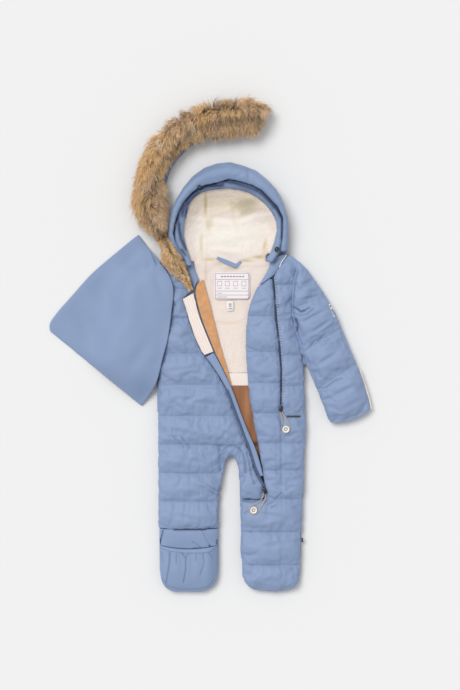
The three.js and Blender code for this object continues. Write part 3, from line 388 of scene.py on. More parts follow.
def node_bmesh(frame: dict, nodes: Sequence[str]) -> bmesh.types.BMesh:
    """Copies CAD nodes into one bmesh of welded quads.

    Args:
        nodes: Node names.

    Returns:
        The bmesh.
    """
    bm = bmesh.new()
    for node in nodes:
        bm.from_mesh(frame["nodes"][node].data)
    bmesh.ops.remove_doubles(bm, verts=bm.verts, dist=WELD)
    bmesh.ops.join_triangles(
        bm,
        faces=bm.faces,
        angle_face_threshold=math.radians(50),
        angle_shape_threshold=math.radians(60),
    )
    return bm


def evaluated(obj: bpy.types.Object) -> bpy.types.Mesh:
    """Copies an object's mesh with its modifiers applied.

    Args:
        obj: The object.

    Returns:
        The new mesh.
    """
    graph = bpy.context.evaluated_depsgraph_get()
    graph.update()
    return bpy.data.meshes.new_from_object(obj.evaluated_get(graph))


def apply_modifiers(obj: bpy.types.Object) -> None:
    """Bakes an object's modifiers into its mesh.

    Args:
        obj: The object to change.
    """
    mesh = evaluated(obj)
    old = obj.data
    obj.modifiers.clear()
    obj.data = mesh
    bpy.data.meshes.remove(old)
    mesh.polygons.foreach_set("use_smooth", [True] * len(mesh.polygons))


def vectors_of(mesh: bpy.types.Mesh, what: str) -> np.ndarray:
    """Reads one vector of every vertex.

    Args:
        mesh: The mesh.
        what: Name of the vector: co or normal.

    Returns:
        An array with a row for each vertex.
    """
    out = np.zeros(len(mesh.vertices) * 3, np.float32)
    mesh.vertices.foreach_get(what, out)
    return out.reshape(-1, 3).astype(float)


def points_of(obj: bpy.types.Object) -> np.ndarray:
    """The vertices of an object's mesh as an array."""
    return vectors_of(obj.data, "co")


def set_points(obj: bpy.types.Object, points: np.ndarray) -> None:
    """Writes vertices back to an object's mesh."""
    obj.data.vertices.foreach_set("co", points.astype(np.float32).ravel())
    obj.data.update()


def normals_of(obj: bpy.types.Object) -> np.ndarray:
    """The vertex normals of an object's mesh as an array."""
    return vectors_of(obj.data, "normal")


def fillers(
    bm: bmesh.types.BMesh, places: Iterable[Point], radius: float, height: float, draft: Draft
) -> None:
    """Adds small balls over which a remeshed skin closes its gaps.

    Args:
        bm: The bodies that become the skin.
        places: Places of the balls, in squares.
        radius: Their radius in metres.
        height: Height of their middles.
        draft: Where the draft lies.
    """
    for x, y in places:
        ball = bmesh.ops.create_icosphere(bm, subdivisions=2, radius=radius)
        bmesh.ops.translate(bm, vec=draft.at(x, y, height), verts=ball["verts"])


def remeshed(
    name: str, bm: bmesh.types.BMesh, voxel: float, smooth: int = 2, grow: float = 0.0009
) -> bpy.types.Object:
    """Rebuilds closed bodies as one even skin.

    Args:
        name: Object name.
        bm: The bodies.
        voxel: Spacing of the new points in metres.
        smooth: Smoothing passes that take off the voxel steps.
        grow: What the smoothing takes off the edges and is given back, in metres.

    Returns:
        The skin.
    """
    obj = from_bmesh(name, bm)
    remesh = obj.modifiers.new("remesh", "REMESH")
    remesh.mode = "VOXEL"
    remesh.voxel_size = voxel
    if smooth:
        ease = obj.modifiers.new("ease", "SMOOTH")
        ease.factor = 0.5
        ease.iterations = smooth
    apply_modifiers(obj)
    points = points_of(obj)
    points[:, :2] += grow * normals_of(obj)[:, :2]
    set_points(obj, points)
    return obj


def subdivided(name: str, bm: bmesh.types.BMesh, levels: int) -> bpy.types.Object:
    """Rounds welded quads into a smooth skin.

    Args:
        name: Object name.
        bm: The quads.
        levels: Subdivision levels.

    Returns:
        The skin.
    """
    layer = bm.edges.layers.float.new("crease_edge")
    for edge in bm.edges:
        if edge.calc_face_angle(0.0) > HARD_EDGE:
            edge[layer] = EDGE_CREASE
    obj = from_bmesh(name, bm)
    refine(obj, levels)
    return obj


def refine(obj: bpy.types.Object, levels: int = 1) -> None:
    """Adds subdivision levels to a skin.

    Args:
        obj: The skin.
        levels: Levels to add.
    """
    rounder = obj.modifiers.new("round", "SUBSURF")
    rounder.levels = rounder.render_levels = levels
    apply_modifiers(obj)


class Surface:
    """The outside of some pieces, to seat stitches and trims on."""

    def __init__(self, objects: Iterable[bpy.types.Object]) -> None:
        """Gathers the pieces' faces.

        Args:
            objects: The pieces.
        """
        verts: list[Vector] = []
        faces: list[tuple[int, ...]] = []
        for obj in objects:
            start = len(verts)
            verts.extend(v.co.copy() for v in obj.data.vertices)
            faces.extend(tuple(start + i for i in p.vertices) for p in obj.data.polygons)
        self.tree = BVHTree.FromPolygons(verts, faces)

    def hit(self, x: float, y: float) -> tuple[Vector, Vector] | None:
        """The highest point over a place and its normal, or None off the pieces."""
        spot, normal, _, _ = self.tree.ray_cast(Vector((x, y, RAY_START)), Vector((0, 0, -1)))
        return None if spot is None else (spot, normal if normal.z > 0 else -normal)


def base_of(node: str) -> Vector:
    """The middle of the underside of a CAD node's box."""
    low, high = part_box(node)
    return Vector(((low[0] + high[0]) / 2, (low[1] + high[1]) / 2, low[2]))


def segment_distance(
    points: np.ndarray, start: np.ndarray, end: np.ndarray
) -> tuple[np.ndarray, np.ndarray]:
    """Distance of points from a seam.

    Args:
        points: Points as x and y.
        start: The seam's start.
        end: The seam's end.

    Returns:
        The distances, and how far along the seam each point lies, in metres.
    """
    run = end - start
    length = float(np.hypot(*run))
    along = np.clip((points - start) @ run / length, 0.0, length)
    nearest = start + along[:, None] * run / length
    return np.hypot(*(points - nearest).T), along


def route_distance(points: np.ndarray, route: Sequence[Point], draft: Draft) -> np.ndarray:
    """Distance of points from a line of one or more stretches.

    Args:
        points: Points as x and y, in metres.
        route: The line, in squares.
        draft: Where the draft lies.

    Returns:
        The distances, at most 1.
    """
    near = np.full(len(points), 1.0)
    for pair in zip(route, route[1:]):
        near = np.minimum(near, segment_distance(points, *draft.many(pair))[0])
    return near


# Quilting and padding


@dataclass(frozen=True)
class Crease:
    """A fold at a given place.

    Attributes:
        start: One end, in squares.
        end: Other end, in squares.
        depth: Depth in metres; negative for a raised ridge.
        width: Half width in metres.
    """

    start: Point
    end: Point
    depth: float = 0.0022
    width: float = 0.007


def folds(*rows: tuple[float, ...]) -> tuple[Crease, ...]:
    """Reads folds from rows of start x and y, end x and y, depth and half width."""
    return tuple(Crease((a, b), (c, d), *rest) for a, b, c, d, *rest in rows)


@dataclass(frozen=True)
class Cut:
    """A narrow groove that follows a seam or an opening.

    Attributes:
        route: Its line, in squares.
        depth: Depth in metres.
        width: Half width in metres.
        whole: True if the wall sinks as a whole, with its underside.
    """

    route: Sequence[Point]
    depth: float
    width: float
    whole: bool = False


@dataclass(frozen=True)
class Padding:
    """How one padded skin is stitched and creased.

    Attributes:
        seams: Quilting seams as pairs of points, in squares.
        creases: Listed folds.
        pucker: Height in metres of the gathers beside a seam.
        reach: How far the gathers run from a seam, in metres.
        groove: Extra depth of the stitched line, in metres.
        line: Half width of the stitched line, in metres.
        wave: Height in metres of the soft wrinkles between seams.
        cuts: Narrow grooves at openings.
    """

    seams: Sequence[tuple[Point, Point]]
    creases: Sequence[Crease] = ()
    pucker: float = 0.0021
    reach: float = 0.011
    groove: float = 0.0014
    line: float = 0.0020
    wave: float = 0.0018
    cuts: Sequence[Cut] = ()


# Rise of the normal at which the upper side begins, and over which it becomes full.
UPPER_START, UPPER_RAMP = 0.05, 0.35
# Gathers: spacing along the seam in metres and share of their height, coarse and fine.
GATHER_PITCHES = ((0.0125, 1.0), (0.0068, 0.45))
# How far from the seam a gather changes, in metres, and where it stops, in reaches.
GATHER_RUN, GATHER_END = 0.04, 3.5
# Keeps the gathers of two seams from looking alike.
GATHER_SHIFT = 7.3
# Share of a gather that is valley, and the flat strip beside the stitches in metres.
GATHER_VALLEY, SEAM_FLAT = 0.55, 0.004
# Strip in metres beside a seam in which wrinkles die out, and what is left of them there.
WAVE_EASE, WAVE_LEAST = 0.012, 0.15
# A fold's raised shoulder: place in widths and share of its depth, and how its ends taper.
SHOULDER_PLACE, SHOULDER_SHARE = 1.9, 0.35
TAPER_POWER, TAPER_END = 0.6, 0.04


def top_share(normals: np.ndarray) -> np.ndarray:
    """How much each point belongs to the upper side, from 0 to 1."""
    return np.clip((normals[:, 2] - UPPER_START) / UPPER_RAMP, 0.0, 1.0)


def wrinkle(x: float, y: float) -> float:
    """Height of the soft wrinkles at a place: wide ones, and fine ones half as high."""
    wide = Vector((x * 22 + y * 9, y * 42 - x * 12, 3.1))
    fine = Vector((x * 60 - y * 30, y * 75 + x * 20, 8.7))
    return noise.noise(wide) + 0.5 * noise.noise(fine)


def gather(obj: bpy.types.Object, padding: Padding, draft: Draft) -> np.ndarray:
    """Adds the gathers beside the seams and the soft wrinkles between them.

    Args:
        obj: The skin.
        padding: Its seams and folds.
        draft: Where the draft lies.

    Returns:
        The distance of each point from the nearest seam.
    """
    points = points_of(obj)
    normals = normals_of(obj)
    top = top_share(normals)
    flat = points[:, :2]
    lift = np.zeros(len(points))
    nearest = np.full(len(points), 1.0)
    for index, (start, end) in enumerate(padding.seams):
        distance, along = segment_distance(flat, *draft.many([start, end]))
        nearest = np.minimum(nearest, distance)
        close = np.nonzero((distance < padding.reach * GATHER_END) & (top > 0))[0]
        fade = np.exp(-distance[close] / padding.reach)
        ease = np.clip(distance[close] / SEAM_FLAT, 0.0, 1.0)
        for pitch, share in GATHER_PITCHES:
            rows = np.array(
                [
                    noise.noise(
                        Vector((along[i] / pitch, index * GATHER_SHIFT, distance[i] / GATHER_RUN))
                    )
                    for i in close
                ]
            )
            ridge = np.abs(rows) * 2.0 - GATHER_VALLEY
            lift[close] += padding.pucker * share * fade * ridge * ease
    upper = np.nonzero(top > 0)[0]
    waves = np.array([wrinkle(x, y) for x, y in flat[upper]])
    lift[upper] += padding.wave * waves * np.clip(nearest[upper] / WAVE_EASE, WAVE_LEAST, 1.0)
    points += normals * (lift * top)[:, None]
    set_points(obj, points)
    return nearest


def press(obj: bpy.types.Object, padding: Padding, draft: Draft) -> None:
    """Presses the stitched lines and the listed folds into a skin.

    Args:
        obj: The skin.
        padding: Its seams and folds.
        draft: Where the draft lies.
    """
    points = points_of(obj)
    top = top_share(normals_of(obj))
    flat = points[:, :2]
    lift = np.zeros(len(points))
    for seam in padding.seams:
        near = route_distance(flat, seam, draft)
        lift -= padding.groove * np.exp(-((near / padding.line) ** 2))
    for crease in padding.creases:
        distance, along = segment_distance(flat, *draft.many([crease.start, crease.end]))
        length = math.dist(crease.start, crease.end) * SQUARE
        place = np.clip(along / length, TAPER_END, 1 - TAPER_END)
        taper = np.sin(np.pi * place) ** TAPER_POWER
        trough = np.exp(-((distance / crease.width) ** 2))
        beside = (distance - SHOULDER_PLACE * crease.width) / crease.width
        shoulder = SHOULDER_SHARE * np.exp(-(beside**2))
        lift -= crease.depth * taper * (trough - shoulder)
    sink = np.zeros(len(points))
    for cut in padding.cuts:
        near = route_distance(flat, cut.route, draft)
        share = -cut.depth * np.exp(-((near / cut.width) ** 2))
        if cut.whole:
            sink = np.minimum(sink, share)
        else:
            lift = np.minimum(lift, share)
    points[:, 2] += lift * top + sink
    set_points(obj, points)


@dataclass(frozen=True)
class Shade:
    """A soft patch of another colour: painted light, painted shade, and in the velour the cloth's
    own streaks.

    Attributes:
        middle: Its middle, in squares.
        reach: Its half width and half height, in squares.
        color: Its colour.
        strength: How much of it shows, from 0 to 1.
    """

    middle: Point
    reach: Point
    color: Color
    strength: float = 1.0


@dataclass(frozen=True)
class Shadow:
    """A painted shadow along the bottom of a fold or a gap.

    Attributes:
        route: Places along the fold, in squares.
        width: Half width in metres.
        strength: How much of it shows, from 0 to 1.
        color: Its colour.
    """

    route: Sequence[Point]
    width: float
    strength: float = 0.8
    color: Color = (0.028, 0.05, 0.12)


def paint(
    obj: bpy.types.Object,
    base: Color,
    shades: Iterable[Shade],
    shadows: Iterable[Shadow],
    draft: Draft,
) -> None:
    """Colours a piece point by point with painted light and shade, for the finishes that read the
    tint.

    Args:
        obj: The piece.
        base: Its usual colour.
        shades: Soft patches of painted light and shade, and of the cloth's own colour.
        shadows: Painted shadows along the bottoms of its folds.
        draft: Where the draft lies.
    """
    points = points_of(obj)
    colors = np.tile(np.array(base), (len(points), 1))
    for shade in shades:
        middle = draft.at(*shade.middle)
        across = (points[:, 0] - middle.x) / (shade.reach[0] * SQUARE)
        down = (points[:, 1] - middle.y) / (shade.reach[1] * SQUARE)
        share = (shade.strength * np.exp(-(across**2 + down**2) ** 1.5))[:, None]
        colors = colors * (1 - share) + np.array(shade.color) * share
    for shadow in shadows:
        near = route_distance(points[:, :2], shadow.route, draft)
        share = (shadow.strength * np.exp(-((near / shadow.width) ** 2)))[:, None]
        colors = colors * (1 - share) + np.array(shadow.color) * share
    layer = obj.data.color_attributes.new("tint", "FLOAT_COLOR", "POINT")
    rgba = np.concatenate([colors, np.ones((len(points), 1))], axis=1)
    layer.data.foreach_set("color", rgba.astype(np.float32).ravel())


@dataclass(frozen=True)
class Swell:
    """A short cloth run in which the padding pushes the shell out between its seams.

    Attributes:
        grow: Share by which the cloth is wider than its seams.
        pressure: Push of the padding.
        frames: Length of the run.
        cap: Furthest that a point may move, in metres.
        bending: Stiffness of the cloth against folding.
        tension: Stiffness against stretching and squeezing.
        shear: Stiffness against slanting.
        mass: Mass of each point, in kilograms.
        levels: Number of steps in how firmly points are held.
    """

    grow: float = 0.045
    pressure: float = 3.0
    frames: int = 16
    cap: float = 0.006
    bending: float = 0.25
    tension: float = 12.0
    shear: float = 5.0
    mass: float = 0.15
    levels: int = 10

    def run(self, obj: bpy.types.Object, held: np.ndarray) -> None:
        """Runs the cloth and keeps its last shape.

        Args:
            obj: The skin.
            held: For each point, how firmly it is stitched down, from 0 to 1.
        """
        rest = points_of(obj)
        group = obj.vertex_groups.new(name="held")
        for step in range(1, self.levels + 1):
            rows = np.nonzero(np.round(held * self.levels) == step)[0]
            if len(rows):
                group.add(rows.tolist(), step / self.levels, "REPLACE")
        cloth = obj.modifiers.new("cloth", "CLOTH")
        settings = cloth.settings
        settings.quality = 5
        settings.mass = self.mass
        settings.tension_stiffness = settings.compression_stiffness = self.tension
        settings.shear_stiffness = self.shear
        settings.bending_stiffness = self.bending
        settings.use_pressure = True
        settings.uniform_pressure_force = self.pressure
        settings.vertex_group_mass = group.name
        settings.shrink_min = settings.shrink_max = -self.grow
        settings.effector_weights.gravity = 0.0
        cloth.collision_settings.use_collision = False
        cloth.point_cache.frame_start = 1
        cloth.point_cache.frame_end = self.frames
        scene = bpy.context.scene
        for frame in range(1, self.frames + 1):
            scene.frame_set(frame)
        mesh = evaluated(obj)
        moved = vectors_of(mesh, "co")
        bpy.data.meshes.remove(mesh)
        scene.frame_set(1)
        obj.modifiers.clear()
        obj.vertex_groups.clear()
        step = np.nan_to_num(moved - rest)
        size = np.linalg.norm(step, axis=1, keepdims=True)
        limit = self.cap * np.tanh(size / self.cap)
        set_points(obj, rest + step * limit / np.maximum(size, 1e-9))


@dataclass(frozen=True)
class SkinSize:
    """A padded skin and the CAD nodes that it stands for.

    Attributes:
        name: Piece name.
        nodes: CAD nodes.
        padding: Its seams and folds.
        voxel: Spacing of its points, in metres.
        swell: Cloth run, or None for a skin without one.
        fill: Not used; how full it is, from 0 to 1.
        levels: Subdivision levels after the run.
        joins: Places where pieces meet and the skin closes over the gap, in squares.
        ink_and_shadow: How dark the bottoms of the cuts are, from 0 to 1.
        shadows: Other painted fold shadows.
    """

    name: str
    nodes: Sequence[str]
    padding: Padding
    voxel: float = 0.0040
    swell: Swell | None = field(default_factory=Swell)
    fill: float = 0.55
    levels: int = 1
    joins: Sequence[Point] = ()
    # How dark the painted shadows at the bottoms of the cuts are.
    ink_and_shadow: float = 0.42
    shadows: Sequence[Shadow] = ()


@dataclass(frozen=True)
class PaddedSkin:
    """A padded part of the shell."""

    size: SkinSize

    # Radius and height in metres of the fillers at its joins.
    FILLER, FILLER_HEIGHT = 0.0045, 0.0185
    # Strip beside a seam that the cloth run holds, and the one in which it lets go.
    HELD, EASE = 0.003, 0.004
    # Width of the painted shadow in a cut, in the cut's half widths.
    SHADOW_SPREAD = 1.1

    def build(self, frame: dict, draft: Draft) -> bpy.types.Object:
        """Grows the skin from its nodes, fills it out and stitches it.

        Args:
            draft: Where the draft lies.

        Returns:
            The skin.
        """
        size = self.size
        bm = node_bmesh(frame, size.nodes)
        fillers(bm, size.joins, self.FILLER, self.FILLER_HEIGHT, draft)
        obj = remeshed(size.name, bm, size.voxel)
        distance = gather(obj, size.padding, draft)
        if size.swell:
            top = top_share(normals_of(obj))
            stitched = np.clip(1.0 - (distance - self.HELD) / self.EASE, 0.0, 1.0)
            held = np.maximum(stitched, 1.0 - top)
            size.swell.run(obj, held)
        if size.levels:
            refine(obj, size.levels)
        press(obj, size.padding, draft)
        # Painted shadows darken the bottoms of the cuts and the skin's other listed folds.
        dark = [
            Shadow(cut.route, cut.width * self.SHADOW_SPREAD, size.ink_and_shadow, FOLD_SHADOW_BLUE)
            for cut in size.padding.cuts
        ]
        paint(obj, SKIN_BLUE, (), (*dark, *size.shadows), draft)
        return obj

    def dress(self, obj: bpy.types.Object, wardrobe: Wardrobe) -> None:
        """Gives the skin its cloth and hides the CAD nodes that it stands for.

        Args:
            obj: The skin.
            wardrobe: The materials.
        """
        wardrobe.dress(obj, Cloth.SHELL, "shell_painted_shade")
        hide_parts(*self.size.nodes)


def level(y: float, left: float, right: float, tilt: float = 0.0) -> tuple[Point, Point]:
    """A seam across a panel, between two columns."""
    return (left, y), (right, y + tilt)


LEFT_SEAMS = tuple(
    level(y, 157, right, tilt)
    for y, right, tilt in (
        (287, 197, 4.4), (319.5, 189, -1), (354.5, 205, -1), (385, 225, -0.5),
        (416, 237, -0.5), (444.3, 248, 0.2), (472.5, 222, 0.5), (501, 220, 0),
    )
)
TAIL_SEAMS = (level(470.5, 247, 256), ((221, 466), (221, 450)), ((221, 450), (232, 444.8)),
              ((232, 444.8), (243, 451)), ((243, 451), (246.8, 468)))
CENTRE_SEAMS = tuple(level(y, 244, 281) for y in (316.5, 352, 383, 413, 443, 470, 498.5))
RIGHT_SEAMS = tuple(
    level(y, 272 if y < 410 else 281, 306) for y in (285, 321, 356, 386, 416, 443, 470, 498.5)
)
LEG_SEAMS = (level(531, 240, 303), level(564, 241, 301))
SLEEVE_SEAMS = (
    ((292.6, 308.6), (325.6, 296.6)),
    ((303.4, 351.6), (341, 328)),
    ((317.4, 388.6), (355.6, 363.6)),
)

ZIP_CUTS = (
    Cut(((272.6, 277), (274, 290), (276, 320), (279, 343), (281, 370), (280.6, 406)), 0.0055,
        0.0017),
    Cut(((261, 285), (266, 281.6), (272, 277.6)), 0.0030, 0.0014),
    Cut(((243, 500.4), (252, 501), (262, 498)), 0.0016, 0.0016),
    Cut(((244, 512), (250, 508.4)), 0.0016, 0.0014),
    Cut(((271, 506), (276, 503.6)), 0.0020, 0.0014),
    Cut(((281, 492), (273, 500), (268, 503)), 0.0018, 0.0016),
)
LEFT_CUTS = (
    Cut(((220.6, 470), (220.8, 456), (223.4, 449.4), (228, 445.8), (234, 445), (239.4, 447.6),
         (243, 452), (245.2, 460), (245.8, 472)), 0.0034, 0.0021),
    Cut(((240.6, 450), (239, 459)), 0.0024, 0.0015),
    Cut(((226.4, 449), (223.6, 454), (223, 462)), 0.0024, 0.0015),
    Cut(((247, 452), (250, 464), (252, 476), (254.6, 483)), 0.0026, 0.0018),
    Cut(((207, 483), (218, 490.6)), 0.0014, 0.0015), Cut(((208, 489), (219, 495)), 0.0018, 0.0014),
    Cut(((174, 436), (184, 446)), 0.0012, 0.0014), Cut(((180, 434), (190, 447)), 0.0010, 0.0014),
)
# Where the sleeve's skin closes over the armhole seam.
ARMHOLE = tuple(
    (x0 + (x1 - x0) * step / steps, y0 + (y1 - y0) * step / steps)
    for (x0, y0), (x1, y1), steps in (
        ((296.4, 262.6), (296.6, 272), 4), ((296.6, 272), (293, 292), 8),
        ((293, 292), (292.6, 312), 8), ((292.6, 312), (296.4, 330), 7),
        ((296.4, 330), (301.2, 346), 6), ((301.2, 346), (303.2, 356), 4),
    )
    for step in range(steps)
)
SLEEVE_CUTS = (
    Cut(((297, 272), (294.4, 284), (293, 296), (292.6, 312), (296.6, 330), (301.4, 346),
         (303.6, 356)), 0.0016, 0.0015),
    Cut(((292.6, 307), (297, 309), (300.6, 312), (304, 311), (309, 307.6)), 0.0036, 0.0017),
    Cut(((293, 313), (300, 316), (306, 314.6), (313, 309)), 0.0024, 0.0015),
    Cut(((295.6, 320), (297.6, 326), (296.8, 331)), 0.0036, 0.0016),
    Cut(((310, 346), (314, 341), (319, 340), (324, 334)), 0.0020, 0.0015),
    Cut(((317, 388), (325, 387), (333, 381), (341, 378)), 0.0022, 0.0015),
)
LEFT_CREASES = folds(
    (165, 300, 190, 312, 0.0022), (170, 334, 196, 345, 0.0024), (163, 372, 205, 366, 0.0022),
    (176, 398, 214, 404, 0.0027), (162, 428, 196, 434, 0.0019), (205, 425, 236, 436, 0.0027),
    (166, 455, 206, 462, 0.0024), (180, 482, 214, 490, 0.0024), (164, 512, 200, 518, 0.0022),
    (225, 449, 226, 460, 0.0022, 0.004), (239, 450, 237, 462, 0.0022, 0.004),
)
RIGHT_CREASES = folds(
    (281.2, 413, 282, 497, -0.0029, 0.0052), (286, 300, 300, 306, 0.0019),
    (252, 330, 270, 338, 0.0024), (282, 338, 300, 343, 0.0022), (255, 366, 276, 370, 0.0022),
    (286, 398, 303, 404, 0.0019), (262, 426, 280, 431, 0.0024), (284, 455, 303, 460, 0.0022),
    (270, 482, 300, 488, 0.0024), (246, 510, 290, 518, 0.0024), (256, 545, 298, 540, 0.0024),
    (243, 570, 256, 576, 0.0032), (285, 574, 297, 566, 0.0032), (262, 578, 280, 580, 0.0022),
)
SLEEVE_CREASES = folds(
    (300, 290, 312, 280, 0.0034), (303, 322, 324, 311, 0.0042, 0.005),
    (310, 334, 330, 320, 0.0036, 0.005), (316, 366, 340, 350, 0.0036, 0.006),
    (330, 372, 342, 370, 0.0032), (326, 400, 356, 384, 0.0036), (340, 410, 362, 398, 0.0028),
    (296, 318, 302, 336, 0.0036, 0.004), (304, 300, 318, 296, 0.0030, 0.004),
    (322, 344, 334, 338, 0.0034, 0.004),
)

SKINS = (
    SkinSize(
        "left_front_skin",
        ("front_left", "front_leg_left", "crotch_gusset", "front_left_tail"),
        Padding(LEFT_SEAMS + TAIL_SEAMS, LEFT_CREASES, cuts=LEFT_CUTS),
        joins=((224.4, 447), (240, 447.6), (243, 446.4), (244.6, 445.4), (220.4, 473),
               (220, 477), (242, 481), (241, 485)),
    ),
    SkinSize(
        "right_front_skin",
        ("front_centre", "front_right", "front_leg_right"),
        Padding(CENTRE_SEAMS + RIGHT_SEAMS + LEG_SEAMS, RIGHT_CREASES, cuts=ZIP_CUTS),
        shadows=(Shadow(((240.6, 499.4), (252, 500.2), (262, 498)), 0.0014, 0.45),),
        joins=((290.4, 258.4), (292.6, 259.6), (294.6, 261), (296.4, 262.6), (297.4, 264.8)),
    ),
    SkinSize(
        "right_sleeve_skin", ("sleeve_right_front",),
        Padding(SLEEVE_SEAMS, SLEEVE_CREASES, cuts=SLEEVE_CUTS),
        joins=ARMHOLE,
        shadows=(
            Shadow(((295.4, 319), (297.4, 325), (296.6, 331)), 0.0024, 0.8),
            Shadow(((293, 307.4), (297, 309), (300.6, 312), (304, 310.6)), 0.0022, 0.6),
        ),
    ),
)


class BackSkin:
    """The back of the suit: flat underneath, with its quilting pressed in."""

    NODES = ("back_torso", "back_leg_left", "back_leg_right", "hood_back", "sleeve_right_back")
    ROWS = (321, 356, 386, 416, 443, 470, 498.5, 531, 564)
    GROOVE, GROOVE_WIDTH = 0.0018, 0.006
    VOXEL = 0.0055

    def build(self, frame: dict, draft: Draft) -> bpy.types.Object:
        """Grows the back and presses its seams into the underside.

        Args:
            draft: Where the draft lies.

        Returns:
            The back.
        """
        obj = remeshed("back_skin", node_bmesh(frame, self.NODES), self.VOXEL)
        points = points_of(obj)
        under = np.clip(-normals_of(obj)[:, 2], 0.0, 1.0)
        for y in self.ROWS:
            away = (points[:, 1] - draft.at(0, y).y) / self.GROOVE_WIDTH
            points[:, 2] += under * self.GROOVE * np.exp(-(away**2))
        set_points(obj, points)
        return obj

    def dress(self, obj: bpy.types.Object, wardrobe: Wardrobe) -> None:
        """Gives the back its cloth and hides the CAD nodes that it stands for.

        Args:
            obj: The back.
            wardrobe: The materials.
        """
        wardrobe.dress(obj, Cloth.SHELL)
        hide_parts(*self.NODES)


@dataclass(frozen=True)
class FormSize:
    """A shell or lining piece shaped from one or more CAD nodes.

    Attributes:
        name: Piece name.
        nodes: CAD nodes.
        cloth: Its cloth.
        voxel: Spacing of its points, or 0 to round the CAD's own quads.
        levels: Subdivision levels.
        creases: Listed folds.
        seams: Stitched lines.
        cuts: Narrow grooves.
        shadows: Painted shadows at the bottoms of its folds.
        shades: Soft patches of painted light and shade, and of the cloth's own colour.
        base: Colour between the shades and shadows.
        rib: Spacing in metres of knitted ribs, or 0.
        variant: Name of a variant material.
        flat: Not used; cut width and length in metres for an unpadded piece, or None.
        share: Not used; share of that rectangle that the cut takes.
        narrow: Not used; True for a tape too narrow to be a sheet.
    """

    name: str
    nodes: Sequence[str]
    cloth: Cloth
    voxel: float = 0.0
    levels: int = 3
    creases: Sequence[Crease] = ()
    seams: Sequence[tuple[Point, Point]] = ()
    cuts: Sequence[Cut] = ()
    shadows: Sequence[Shadow] = ()
    shades: Sequence[Shade] = ()
    base: Color = SHELL_BLUE
    rib: float = 0.0
    variant: str = ""
    flat: tuple[float, float] | None = None
    share: float = 0.9
    narrow: bool = False


@dataclass(frozen=True)
class FormPiece:
    """A piece that keeps its CAD form and gets its surface from given folds, ribs and colours."""

    size: FormSize

    PUCKER, GROOVE, WAVE = 0.0007, 0.0009, 0.0006
    # Height of the ribs in metres, and how far they lean with the row.
    RIB_HEIGHT, RIB_LEAN = 0.0009, 0.4

    def build(self, frame: dict, draft: Draft) -> bpy.types.Object:
        """Makes the piece and its folds, loops or ribs.

        Args:
            draft: Where the draft lies.

        Returns:
            The piece.
        """
        size = self.size
        bm = node_bmesh(frame, size.nodes)
        if size.voxel:
            obj = remeshed(size.name, bm, size.voxel)
            if size.levels:
                refine(obj, size.levels)
        else:
            obj = subdivided(size.name, bm, size.levels)
        if size.creases or size.seams or size.cuts:
            still = Padding(
                size.seams, size.creases, pucker=self.PUCKER, groove=self.GROOVE,
                wave=self.WAVE, cuts=size.cuts,
            )
            gather(obj, still, draft)
            press(obj, still, draft)
        if size.rib:
            self.ribs(obj)
        # Painted light and shade: soft patches and fold shadows written into the tint.
        if size.shadows or size.shades:
            paint(obj, size.base, size.shades, size.shadows, draft)
        return obj

    def ribs(self, obj: bpy.types.Object) -> None:
        """Raises knitted ribs on the upper side.

        Args:
            obj: The piece.
        """
        points = points_of(obj)
        normals = normals_of(obj)
        turn = 2 * np.pi * (points[:, 0] + self.RIB_LEAN * points[:, 1]) / self.size.rib
        lift = self.RIB_HEIGHT * np.cos(turn) * top_share(normals)
        set_points(obj, points + normals * lift[:, None])

    def dress(self, obj: bpy.types.Object, wardrobe: Wardrobe) -> None:
        """Args:
            obj: The piece.
            wardrobe: The materials.
        """
        size = self.size
        wardrobe.dress(obj, size.cloth, size.variant)
        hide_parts(*size.nodes)


@dataclass(frozen=True)
class FleeceSize:
    """The fleece lining of the hood and the chest.

    Attributes:
        side: CAD node of the hood's lining.
        back: CAD node of the hood's lining on the floor.
        body: CAD nodes of the body's lining.
        voxel: Spacing of its points, in metres.
        overlap: Share by which the floor lining is widened to meet the side.
        lump: Height of the hood's fleece loops, in metres.
        loop: Width of the loops.
        joins: Places where the pieces meet and the fleece closes over the gap, in squares.
        neck: Height in squares of the neck seam, below which the fleece is smooth.
        base: Colour of the smooth fleece.
    """

    side: str = "hood_lining_side"
    back: str = "hood_lining_back"
    body: Sequence[str] = ("lining_yoke", "lining_chest")
    voxel: float = 0.0031
    overlap: float = 1.15
    lump: float = 0.0019
    loop: float = 0.0066
    joins: Sequence[Point] = (
        (205.2, 266.2), (205, 264.4), (206, 267.6), (206.4, 269.4), (205, 268.4),
    )
    neck: float = 259.5
    base: Color = (0.80, 0.70, 0.635)


